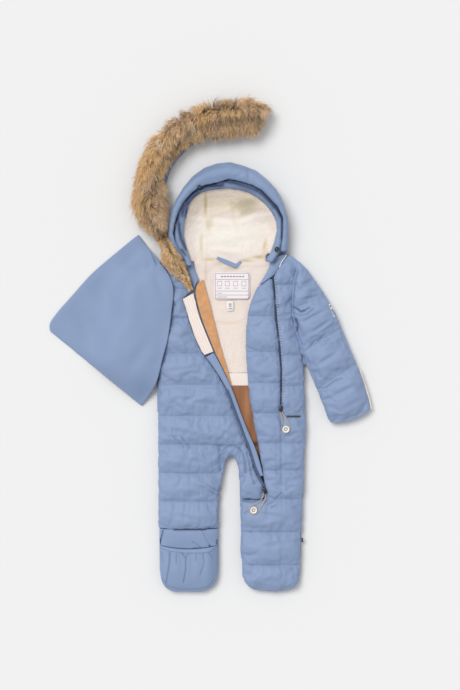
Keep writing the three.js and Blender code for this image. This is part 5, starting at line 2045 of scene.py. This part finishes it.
def block(size: Vector, bevel: float, centre: Vector, turn: float) -> bmesh.types.BMesh:
    """A rounded block.

    Args:
        size: Width, length and height in metres.
        bevel: Radius of its edges.
        centre: Its middle.
        turn: Turn about the vertical, in radians.

    Returns:
        The block.
    """
    bm = bmesh.new()
    bmesh.ops.create_cube(bm, size=1.0)
    bmesh.ops.scale(bm, vec=size, verts=bm.verts)
    bmesh.ops.bevel(
        bm, geom=list(bm.edges), offset=bevel, segments=2, profile=0.6, affect="EDGES"
    )
    bmesh.ops.rotate(bm, cent=(0, 0, 0), matrix=Matrix.Rotation(turn, 3, "Z"), verts=bm.verts)
    bmesh.ops.translate(bm, vec=centre, verts=bm.verts)
    return bm


def merged(name: str, parts: Iterable[bmesh.types.BMesh]) -> bpy.types.Object:
    """Joins several bodies into one object.

    Args:
        name: Object name.
        parts: The bodies, which are freed.

    Returns:
        The object.
    """
    whole = bmesh.new()
    for part in parts:
        absorb(whole, part)
    return from_bmesh(name, whole)


# How much of its thickness a tube keeps at its ends.
TUBE_END = 0.6


def tube(line: Sequence[Vector], radius: float, sides: int = 8) -> bmesh.types.BMesh:
    """A closed tube that follows a line.

    Args:
        line: Points of its middle.
        radius: Its radius.
        sides: Number of sides.

    Returns:
        The tube.
    """
    bm = bmesh.new()
    rings = []
    for i, spot in enumerate(line):
        run = (line[min(i + 1, len(line) - 1)] - line[max(i - 1, 0)]).normalized()
        across = run.cross(Vector((0, 0, 1))).normalized()
        up = across.cross(run)
        size = radius if 0 < i < len(line) - 1 else radius * TUBE_END
        rings.append(
            [
                bm.verts.new(
                    spot
                    + across * size * math.cos(2 * math.pi * k / sides)
                    + up * size * math.sin(2 * math.pi * k / sides)
                )
                for k in range(sides)
            ]
        )
    for first, second in zip(rings, rings[1:]):
        for k in range(sides):
            bm.faces.new((first[k], first[(k + 1) % sides], second[(k + 1) % sides], second[k]))
    bm.faces.new(rings[0])
    bm.faces.new(rings[-1])
    return bm


@dataclass(frozen=True)
class StitchSize:
    """One kind of machine stitch.

    Attributes:
        length: Length of a stitch in metres.
        gap: Space to the next one.
        width: Width of the thread.
        proud: How far it stands out of the cloth.
        sunk: How far its ends lie in the cloth.
        step: Greatest change of height under one stitch.
    """

    length: float = 0.0026
    gap: float = 0.0011
    width: float = 0.00055
    proud: float = 0.00022
    sunk: float = 0.0002
    step: float = 0.003


class Stitcher:
    """Lays rows of stitches on the finished skins."""

    def __init__(self, surface: Surface, draft: Draft) -> None:
        """Keeps what the stitches lie on.

        Args:
            surface: The skins.
            draft: Where the draft lies.
        """
        self.surface = surface
        self.draft = draft

    def rows(
        self, name: str, routes: Iterable[Sequence[Point]], size: StitchSize
    ) -> bpy.types.Object:
        """Makes the stitches of several routes as one object.

        Args:
            name: Object name.
            routes: Lines in squares.
            size: The stitch.

        Returns:
            The stitches.
        """
        bm = bmesh.new()
        for route in routes:
            line = smooth_route(route, size.length + size.gap, self.draft)
            for first, second in zip(line, line[1:]):
                self.stitch(bm, first, second, size)
        return from_bmesh(name, bm)

    def stitch(
        self, bm: bmesh.types.BMesh, first: Vector, second: Vector, size: StitchSize
    ) -> None:
        """Adds one stitch between two places.

        Args:
            bm: Where it goes.
            first: Place that it starts from.
            second: Place of the next one.
            size: The stitch.
        """
        near = self.surface.hit(first.x, first.y)
        end = first.lerp(second, size.length / (size.length + size.gap))
        far = self.surface.hit(end.x, end.y)
        if near is None or far is None or abs(near[0].z - far[0].z) > size.step:
            return
        up = (near[1] + far[1]).normalized()
        run = far[0] - near[0]
        side = run.cross(up).normalized() * size.width * 0.5
        middle = (near[0] + far[0]) / 2
        low = up * -size.sunk
        ring = [
            bm.verts.new(middle + side + low),
            bm.verts.new(middle + up * size.proud * 1.6),
            bm.verts.new(middle - side + low),
        ]
        start = bm.verts.new(near[0] + low)
        stop = bm.verts.new(far[0] + low)
        for k in range(3):
            bm.faces.new((start, ring[k], ring[(k + 1) % 3]))
            bm.faces.new((stop, ring[(k + 1) % 3], ring[k]))


@dataclass(frozen=True)
class ZipSize:
    """A coil zip that lies open or shut.

    Attributes:
        name: Piece name.
        node: Its CAD node.
        route: Its line, in squares.
        pitch: Spacing of the coil's teeth in metres.
        width: Width of the coil.
        tone: Name of the teeth's variant material.
        tape: Name of the tape's variant material.
        aside: How far the teeth lie beside the line, in squares.
    """

    name: str
    node: str
    route: Sequence[Point]
    pitch: float = 0.0020
    width: float = 0.0034
    tone: str = "zip_teeth"
    tape: str = "zip_shade"
    aside: float = 0.0


ZIP_LINES = (
    ZipSize(
        "zip_side_coil", "zip_side",
        ((272.7, 277.8), (274, 290), (276, 320), (279, 343), (281, 370), (280.6, 403.4)),
        pitch=0.0034, width=0.0042, tone="zip_blue", aside=2.0,
    ),
    ZipSize(
        "zip_front_coil", "zip_front",
        ((227.4, 389.6), (232.4, 403.6), (236.2, 413.8), (240.4, 424.8), (244.4, 436.2),
         (247.8, 443.6), (250.4, 451.8), (254.2, 464.8), (259.2, 476), (262.6, 482.4),
         (264.2, 486)),
        width=0.0036, tone="zip_deep", tape="zip_deep",
    ),
)


@dataclass(frozen=True)
class ZipCoil:
    """One zip: its tape and its coil of teeth."""

    size: ZipSize

    # Height and bevel of teeth and ribbon, and the share of the spacing that a tooth fills.
    THICK, BEVEL, TOOTH = 0.0014, 0.0003, 0.56
    # How far teeth stand over their line and the ribbon lies under it, and its extra width.
    TOOTH_RISE, RIBBON_SINK, RIBBON_SPARE = 0.0003, 0.0001, 1.3

    def build(self, frame: dict, draft: Draft, skins: Surface) -> list[bpy.types.Object]:
        """Makes the tape and the teeth.

        Args:
            draft: Where the draft lies.
            skins: The finished cloth that the teeth lie on.

        Returns:
            The tape, the teeth, and the dark ribbon of painted shade under teeth that lie beside
            the line.
        """
        size = self.size
        tape = subdivided(size.name + "_tape", node_bmesh(frame, (size.node,)), 2)
        surface = skins if size.aside else Surface([frame["nodes"][size.node]])
        route = [(x + size.aside, y) for x, y in size.route]
        line = smooth_route(route, size.pitch, draft)
        teeth, ribbon = [], []
        for first, second in zip(line, line[1:]):
            hit = surface.hit(first.x, first.y)
            if hit is None:
                continue
            run = second - first
            turn = math.atan2(run.y, run.x)
            tooth = Vector((size.pitch * self.TOOTH, size.width, self.THICK))
            rise = Vector((0, 0, self.TOOTH_RISE))
            teeth.append(block(tooth, self.BEVEL, hit[0] + rise, turn))
            spare = self.RIBBON_SPARE
            strip = Vector((run.length * spare, size.width * spare, self.THICK))
            sink = Vector((0, 0, self.RIBBON_SINK))
            ribbon.append(block(strip, self.BEVEL, hit[0] - sink, turn))
        pieces = [tape, merged(size.name + "_teeth", teeth)]
        # The ribbon is painted shade: a dark strip that shows in the gaps between the teeth.
        if size.aside:
            pieces.append(merged(size.name + "_ribbon", ribbon))
        return pieces

    def dress(self, pieces: Sequence[bpy.types.Object], wardrobe: Wardrobe) -> None:
        """Gives the zip its finish and hides the CAD node that it stands for.

        Args:
            pieces: The tape, the teeth and the ribbon, if there is one.
            wardrobe: The materials.
        """
        tape, teeth, *ribbons = pieces
        wardrobe.dress(tape, Cloth.ZIP, self.size.tape)
        wardrobe.dress(teeth, Cloth.ZIP, self.size.tone)
        for ribbon in ribbons:
            wardrobe.dress(ribbon, Cloth.ZIP, "zip_deep")
        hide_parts(self.size.node)


@dataclass(frozen=True)
class PullSize:
    """A slider with its looped cord and charm.

    Attributes:
        name: Side that it is on, as in the CAD nodes.
        slider: Not used; middle of the slider, in squares.
        charm: Not used; middle of the charm, in squares.
        route: Line of the cord, in squares.
        turn: Direction of the zip at the slider, in radians.
        length: Not used; real length of the cord in metres.
    """

    name: str
    slider: Point
    charm: Point
    route: Sequence[Point]
    turn: float
    length: float


PULLS = (
    PullSize(
        "side", (280.4, 408), (285.4, 428.4),
        ((280, 411.4), (281, 415), (282, 419.4), (281.8, 423.4), (281.4, 427.4),
         (283.4, 431.4), (287.2, 431.6), (289.2, 427.8), (288.4, 423.6), (286, 418.8),
         (283.4, 414.6), (281.6, 411.4)),
        turn=0.0, length=0.108,
    ),
    PullSize(
        "front", (264.6, 489.4), (253.4, 508.6),
        ((263.4, 492.4), (262.2, 496.6), (259.4, 500.4), (254.6, 503), (250.2, 505.4),
         (249.2, 509.6), (252, 512.8), (256.4, 511.8), (260, 507), (263, 501.4),
         (264.8, 497), (264.8, 492.8)),
        turn=0.45, length=0.124,
    ),
)
# A slider's blocks in metres: width, length, height, bevel, place along the zip, height.
SLIDER_BLOCKS = (
    (0.0078, 0.0104, 0.0022, 0.0008, 0.0, 0.0012),
    (0.0054, 0.0118, 0.0012, 0.0004, 0.0, 0.0026),
    (0.0024, 0.0070, 0.0012, 0.0005, 0.0, 0.0042),
    (0.0024, 0.0014, 0.0022, 0.0004, 0.0030, 0.0034),
)
# Its ring in metres: half width, half length, place along the zip, height and thickness.
RING_HALF, RING_PLACE, RING_UP, RING_WIRE = (0.0026, 0.0030), -0.0046, 0.0040, 0.0005
CORD_DIAMETER = 0.0019
CHARM_PROFILE = (
    (0.0, 0.0), (0.0068, 0.0), (0.0078, 0.0009), (0.0079, 0.0020), (0.0077, 0.0031),
    (0.0071, 0.0038), (0.0064, 0.0037), (0.0059, 0.0031), (0.0, 0.0031),
)
RING_PROFILE = (
    (0.0024, 0.0030), (0.0036, 0.0030), (0.0036, 0.0033), (0.0024, 0.0033), (0.0024, 0.0030),
)
SNAP_PROFILE = (
    (0.0, 0.0), (0.0049, 0.0), (0.0056, 0.0006), (0.0055, 0.0014), (0.0049, 0.0020),
    (0.0041, 0.0021), (0.0036, 0.0015), (0.0026, 0.0013), (0.0018, 0.0019), (0.0, 0.0021),
)


@dataclass(frozen=True)
class ZipPull:
    """A slider, its cord and its charm."""

    size: PullSize

    def slider(self) -> bpy.types.Object:
        """The slider: a waisted body, a bridge and a ring for the cord.

        Returns:
            The slider.
        """
        foot = base_of(f"slider_{self.size.name}")
        turn = self.size.turn
        down = Matrix.Rotation(turn, 3, "Z")
        parts = [
            block(Vector(size), bevel, foot + down @ Vector((0, ahead, up)), turn)
            for *size, bevel, ahead, up in SLIDER_BLOCKS
        ]
        wide, deep = RING_HALF
        ring = [
            foot + down @ Vector((wide * math.cos(a), RING_PLACE + deep * math.sin(a), RING_UP))
            for a in (2 * math.pi * k / 16 for k in range(17))
        ]
        parts.append(tube(ring, RING_WIRE))
        return merged(f"slider_{self.size.name}_body", parts)

    def cord(self, frame: dict, draft: Draft, skins: Surface) -> bpy.types.Object:
        """The looped cord, at the height of the CAD cord or on the cloth if that is higher.

        Args:
            draft: Where the draft lies.
            skins: The finished cloth.

        Returns:
            The cord as a curve.
        """
        surface = Surface([frame["nodes"][f"pull_cord_{self.size.name}"]])
        radius = CORD_DIAMETER / 2
        line = []
        height = 0.03
        for x, y in curved(self.size.route, 5):
            spot = draft.at(x, y)
            hit = surface.hit(spot.x, spot.y)
            height = hit[0].z - radius if hit else height
            under = skins.hit(spot.x, spot.y)
            if under:
                height = max(height, under[0].z + radius)
            line.append(Vector((spot.x, spot.y, height)))
        curve = bpy.data.curves.new(f"pull_{self.size.name}", "CURVE")
        curve.dimensions = "3D"
        curve.bevel_depth = radius
        curve.bevel_resolution = 2
        curve.use_fill_caps = True
        spline = curve.splines.new("POLY")
        spline.points.add(len(line) - 1)
        for point, spot in zip(spline.points, line):
            point.co = (*spot, 1.0)
        obj = bpy.data.objects.new(f"pull_{self.size.name}", curve)
        bpy.context.scene.collection.objects.link(obj)
        return obj

    def charm(self, skins: Surface) -> tuple[bpy.types.Object, bpy.types.Object]:
        """The round charm and the plain printed ring on it.

        Args:
            skins: The finished cloth that they are seated on.

        Returns:
            The charm and its ring.
        """
        spot = base_of(f"charm_{self.size.name}")
        under = skins.hit(spot.x, spot.y)
        if under:
            spot.z = max(spot.z, under[0].z)
        disc, mark = lathe(CHARM_PROFILE, 40), lathe(RING_PROFILE)
        for body in (disc, mark):
            bmesh.ops.translate(body, vec=spot, verts=body.verts)
        return (
            from_bmesh(f"charm_{self.size.name}_disc", disc),
            from_bmesh(f"charm_{self.size.name}_mark", mark),
        )

    def build(self, frame: dict, draft: Draft, skins: Surface, wardrobe: Wardrobe) -> None:
        """Makes and dresses the whole pull.

        Args:
            draft: Where the draft lies.
            skins: The finished cloth.
            wardrobe: The materials.
        """
        name = self.size.name
        slider = self.slider()
        wardrobe.dress(slider, Cloth.METAL)
        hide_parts(f"slider_{name}")
        disc, mark = self.charm(skins)
        wardrobe.dress(disc, Cloth.CHARM)
        wardrobe.dress(mark, Cloth.CHARM, "charm_ink")
        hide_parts(f"charm_{name}")
        cord = self.cord(frame, draft, skins)
        wardrobe.dress(cord, Cloth.CORD)
        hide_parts(f"pull_cord_{name}")


# Size of each snap beside the hood's right one.
SNAPS = {
    "hood_snap_left": 0.75,
    "hood_snap_right": 1.0,
    "tape_snap_top": 0.62,
    "tape_snap_low": 0.62,
}


def press_snap(node: str, scale: float, wardrobe: Wardrobe) -> None:
    """Makes one press snap on its CAD place.

    Args:
        node: Its CAD node.
        scale: Its size beside the hood's right snap.
        wardrobe: The materials.
    """
    bm = lathe(SNAP_PROFILE)
    bmesh.ops.scale(bm, vec=(scale, scale, scale), verts=bm.verts)
    bmesh.ops.translate(bm, vec=base_of(node), verts=bm.verts)
    snap = from_bmesh(node + "_cap", bm)
    wardrobe.dress(snap, Cloth.METAL)
    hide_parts(node)


@dataclass(frozen=True)
class StrokeSize:
    """A thin raised line on the label, in squares.

    Attributes:
        start: One end.
        end: Other end.
        width: Width in metres.
    """

    start: Point
    end: Point
    width: float = 0.0011


# The label's frame and rules, and the middles of its boxes, in squares.
LABEL_SIDES, LABEL_TOP, LABEL_LOW = (215.6, 248.4), 273.8, 298.8
LABEL_RULES = (LABEL_TOP, 279.8, 291.2, 295.2, LABEL_LOW)
BOX_MIDDLES, BOX_HALF = (219.6, 227.4, 235.6, 243.8), 2.1
BOX_ROWS, BOX_DASH = (281.6, 286.2), 288.4


def label_strokes() -> list[StrokeSize]:
    """Lays out the frame, the plain boxes and the rows that stand for the label's writing.

    Returns:
        The lines.
    """
    left, right = LABEL_SIDES
    lines = [StrokeSize((left, y), (right, y + 0.1), 0.0009) for y in LABEL_RULES]
    lines.extend(StrokeSize((x, LABEL_TOP), (x, LABEL_LOW), 0.0009) for x in LABEL_SIDES)
    for x in BOX_MIDDLES:
        sides = (x - BOX_HALF, x + BOX_HALF)
        lines.extend(StrokeSize((sides[0], y), (sides[1], y), 0.0007) for y in BOX_ROWS)
        for side in sides:
            lines.append(StrokeSize((side, BOX_ROWS[0]), (side, BOX_ROWS[1]), 0.0007))
        lines.append(StrokeSize((x - 2, BOX_DASH), (x + 2, BOX_DASH), 0.0009))
    lines.extend(StrokeSize((x, 276.8), (x + 2.2, 276.8), 0.0024) for x in range(221, 243, 3))
    lines.append(StrokeSize((217, 293.4), (222, 293.4), 0.0010))
    lines.append(StrokeSize((217, 297.2), (227, 297.2), 0.0011))
    return lines


TAG_STROKES = (
    StrokeSize((228.7, 304.2), (231.5, 304.2), 0.0020),
    StrokeSize((228.9, 306.2), (231.3, 306.2), 0.0020),
    StrokeSize((228.2, 308.8), (232, 308.8), 0.0012),
)
PATCH_STROKES = (
    StrokeSize((329.4, 305.2), (330.3, 307.4), 0.0022),
    StrokeSize((331.0, 309.2), (331.9, 311.4), 0.0024),
    StrokeSize((332.5, 313.0), (333.2, 314.6), 0.0022),
)


# Spacing of a line's sections, how far it lies in its ground and stands out of it, and the
# height where it runs off the ground.
STROKE_STEP, STROKE_SUNK, STROKE_PROUD, STROKE_MISSED = 0.004, -0.0002, 0.00022, 0.016


def strokes(
    name: str, lines: Iterable[StrokeSize], surface: Surface, draft: Draft
) -> bpy.types.Object:
    """Lays thin flat lines on a surface.

    Args:
        name: Object name.
        lines: The lines.
        surface: What they lie on.
        draft: Where the draft lies.

    Returns:
        The lines as one object.
    """
    bm = bmesh.new()
    for line in lines:
        start, end = draft.at(*line.start), draft.at(*line.end)
        steps = max(2, int((end - start).length / STROKE_STEP))
        side = (end - start).cross(Vector((0, 0, 1))).normalized() * line.width / 2
        previous = None
        for step in range(steps + 1):
            spot = start.lerp(end, step / steps)
            ring = []
            for offset, lift in ((side, STROKE_SUNK), (side, STROKE_PROUD),
                                 (-side, STROKE_PROUD), (-side, STROKE_SUNK)):
                place = spot + offset
                hit = surface.hit(place.x, place.y)
                height = (hit[0].z if hit else STROKE_MISSED) + lift
                ring.append(bm.verts.new((place.x, place.y, height)))
            if previous:
                for k in range(4):
                    other = (k + 1) % 4
                    bm.faces.new((previous[k], previous[other], ring[other], ring[k]))
            else:
                bm.faces.new(ring)
            previous = ring
        bm.faces.new(previous)
    return from_bmesh(name, bm)


SHELL_STITCHES: tuple[Sequence[Point], ...] = (
    ((284.2, 292), (285.4, 320), (287.4, 343), (288.6, 370), (288.2, 404), (287.8, 440),
     (287.6, 498)),
    ((268.5, 290), (269.8, 320), (272.4, 343), (274.4, 370), (274.2, 400)),
    ((208.6, 357.4), (215.2, 366.6), (223, 378.6), (229.6, 390.4), (234.6, 403.8),
     (238.4, 413.8), (243, 425), (247, 436.4), (250.4, 444), (253.6, 453), (257.4, 465),
     (261, 476)),
    ((165.6, 530.4), (203, 530.2)),
    ((303.8, 276), (306.4, 300), (308.6, 330), (309.6, 352)),
    ((361.6, 378), (364.6, 390), (370, 407)),
)
PANEL_STITCHES: tuple[Sequence[Point], ...] = (
    ((52.6, 352), (78, 366), (106, 378), (128, 386)),
    ((52.4, 348), (70, 312), (92, 276), (118, 248), (146, 228)),
)
CREAM_SEAMS: tuple[Sequence[Point], ...] = (
    ((288.4, 251.6), (285.6, 256.6), (282.2, 261.2), (280.2, 265), (279.2, 268.6)),
)


def laid_line(
    name: str, route: Sequence[Point], radius: float, surface: Surface, draft: Draft
) -> bpy.types.Object | None:
    """Lays a thin rolled seam on a surface.

    Args:
        name: Object name.
        route: Its line in squares.
        radius: Its radius in metres.
        surface: What it lies on.
        draft: Where the draft lies.

    Returns:
        The seam, or None where nothing lies under it.
    """
    line = []
    for spot in smooth_route(curved(route), 0.003, draft):
        hit = surface.hit(spot.x, spot.y)
        if hit:
            line.append(hit[0] + hit[1] * radius * 0.3)
    return merged(name, [tube(line, radius)]) if len(line) > 2 else None


# Stage


@dataclass(frozen=True)
class StageSize:
    """The floor, camera and light.

    Attributes:
        aim: What the camera looks at, in metres.
        height: Height of the camera.
        lens: Its focal length in millimetres.
        floor: Linear brightness of the floor.
        sky: Brightness of the light from all round.
        sun: Strength of the light from the upper left.
        sun_from: Direction that it comes from.
        sun_width: How wide it looks, in degrees; a wide light has soft shadows.
        reach: Half size of the floor in metres.
        drop: How far the floor lies under the suit, in metres.
    """

    aim: tuple[float, float] = (0.04336, 0.0018)
    height: float = 3.795
    lens: float = 90.0
    floor: float = 0.78
    sky: float = 0.62
    sun: float = 1.9
    sun_from: tuple[float, float, float] = (-0.42, 0.44, 1.0)
    sun_width: float = 32.0
    reach: float = 12.0
    drop: float = 0.0006


@dataclass(frozen=True)
class Stage:
    """The plain floor, the camera straight above and a soft light."""

    size: StageSize

    def build(self) -> None:
        """Sets up the floor, the light and the camera."""
        size = self.size
        bm = bmesh.new()
        bmesh.ops.create_grid(bm, x_segments=2, y_segments=2, size=size.reach)
        floor = from_bmesh("floor", bm)
        floor.location.z = -size.drop
        material = bpy.data.materials.new("floor")
        material.use_nodes = True
        shader = material.node_tree.nodes["Principled BSDF"]
        shader.inputs["Base Color"].default_value = (size.floor, size.floor, size.floor, 1)
        shader.inputs["Roughness"].default_value = 0.9
        shader.inputs["Specular IOR Level"].default_value = 0.1
        floor.data.materials.append(material)
        world = bpy.data.worlds.new("studio")
        world.use_nodes = True
        sky = world.node_tree.nodes["Background"]
        sky.inputs["Color"].default_value = (1.0, 1.0, 1.0, 1.0)
        sky.inputs["Strength"].default_value = size.sky
        scene = bpy.context.scene
        scene.world = world
        lamp = bpy.data.lights.new("window", "SUN")
        lamp.energy = size.sun
        lamp.angle = math.radians(size.sun_width)
        light = bpy.data.objects.new("window", lamp)
        light.rotation_euler = Vector(size.sun_from).to_track_quat("Z", "Y").to_euler()
        scene.collection.objects.link(light)
        camera = bpy.data.cameras.new("above")
        camera.lens = size.lens
        camera.sensor_width = 36.0
        eye = bpy.data.objects.new("above", camera)
        eye.location = (*size.aim, size.height)
        scene.collection.objects.link(eye)
        scene.camera = eye
        scene.view_settings.view_transform = "Standard"


# The whole suit


class Snowsuit:
    """Every piece of the suit, built and dressed in turn."""

    def __init__(self, frame: dict) -> None:
        """Makes the materials and finds the draft.
        """
        self.frame = frame
        self.draft = Draft.from_frame()
        self.wardrobe = Wardrobe()
        self.skins: dict[str, bpy.types.Object] = {}

    def build(self) -> None:
        """Builds and dresses everything."""
        self.cloths()
        self.trims()
        self.sewing()
        fur = FurTrim(FurSize(), self.draft)
        fur.dress(fur.build(self.frame), self.wardrobe)

    def cloths(self) -> None:
        """The padded shell, the back, the hood and the linings."""
        makers: list[PaddedSkin | FormPiece | BackSkin | FleeceLining] = [
            PaddedSkin(size) for size in SKINS
        ]
        makers.extend((BackSkin(), FleeceLining(FleeceSize())))
        makers.extend(FormPiece(size) for size in FORMS)
        for maker in makers:
            obj = maker.build(self.frame, self.draft)
            maker.dress(obj, self.wardrobe)
            self.skins[obj.name] = obj
            LOG.info("%s: %d faces", obj.name, len(obj.data.polygons))

    def trims(self) -> None:
        """Zips, pulls, snaps, the label and the small tabs."""
        skins = Surface(self.skins.values())
        for size in ZIP_LINES:
            coil = ZipCoil(size)
            coil.dress(coil.build(self.frame, self.draft, skins), self.wardrobe)
        for pull in PULLS:
            ZipPull(pull).build(self.frame, self.draft, skins, self.wardrobe)
        for node, scale in SNAPS.items():
            press_snap(node, scale, self.wardrobe)
        label = subdivided("label_cloth", node_bmesh(self.frame, ("label",)), 2)
        self.wardrobe.dress(label, Cloth.LABEL)
        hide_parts("label")
        for name, lines, ground, ink_and_shadow in (
            ("label_lines", label_strokes(), label, "label_ink"),
            ("tag_lines", TAG_STROKES, self.skins["size_tag_cloth"], "charm_ink"),
            ("patch_lines", PATCH_STROKES, self.skins["sleeve_patch_cloth"], "charm_ink"),
        ):
            marks = strokes(name, lines, Surface([ground]), self.draft)
            self.wardrobe.dress(marks, Cloth.LABEL, ink_and_shadow)
        for node in ("pocket_welt", "side_tab"):
            trim = subdivided(node + "_tape", node_bmesh(self.frame, (node,)), 2)
            self.wardrobe.dress(trim, Cloth.ZIP)
            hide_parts(node)

    def sewing(self) -> None:
        """Stitches and rolled seams on the finished cloth."""
        surface = Surface(self.skins.values())
        stitcher = Stitcher(surface, self.draft)
        seams = [*LEFT_SEAMS, *CENTRE_SEAMS, *RIGHT_SEAMS, *LEG_SEAMS, *SLEEVE_SEAMS]
        routes = [*SHELL_STITCHES, *PANEL_STITCHES, *seams]
        rows = stitcher.rows("shell_stitches", routes, StitchSize())
        self.wardrobe.dress(rows, Cloth.SHELL, "shell_thread")
        for index, route in enumerate(CREAM_SEAMS):
            seam = laid_line(f"cream_seam_{index}", route, 0.0011, surface, self.draft)
            if seam:
                self.wardrobe.dress(seam, Cloth.RIB)


def main() -> None:
    """Builds the dressed suit and its stage."""
    logging.basicConfig(level=logging.INFO)
    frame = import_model()
    Snowsuit(frame).build()
    Stage(StageSize()).build()


if __name__ == "__main__":
    main()
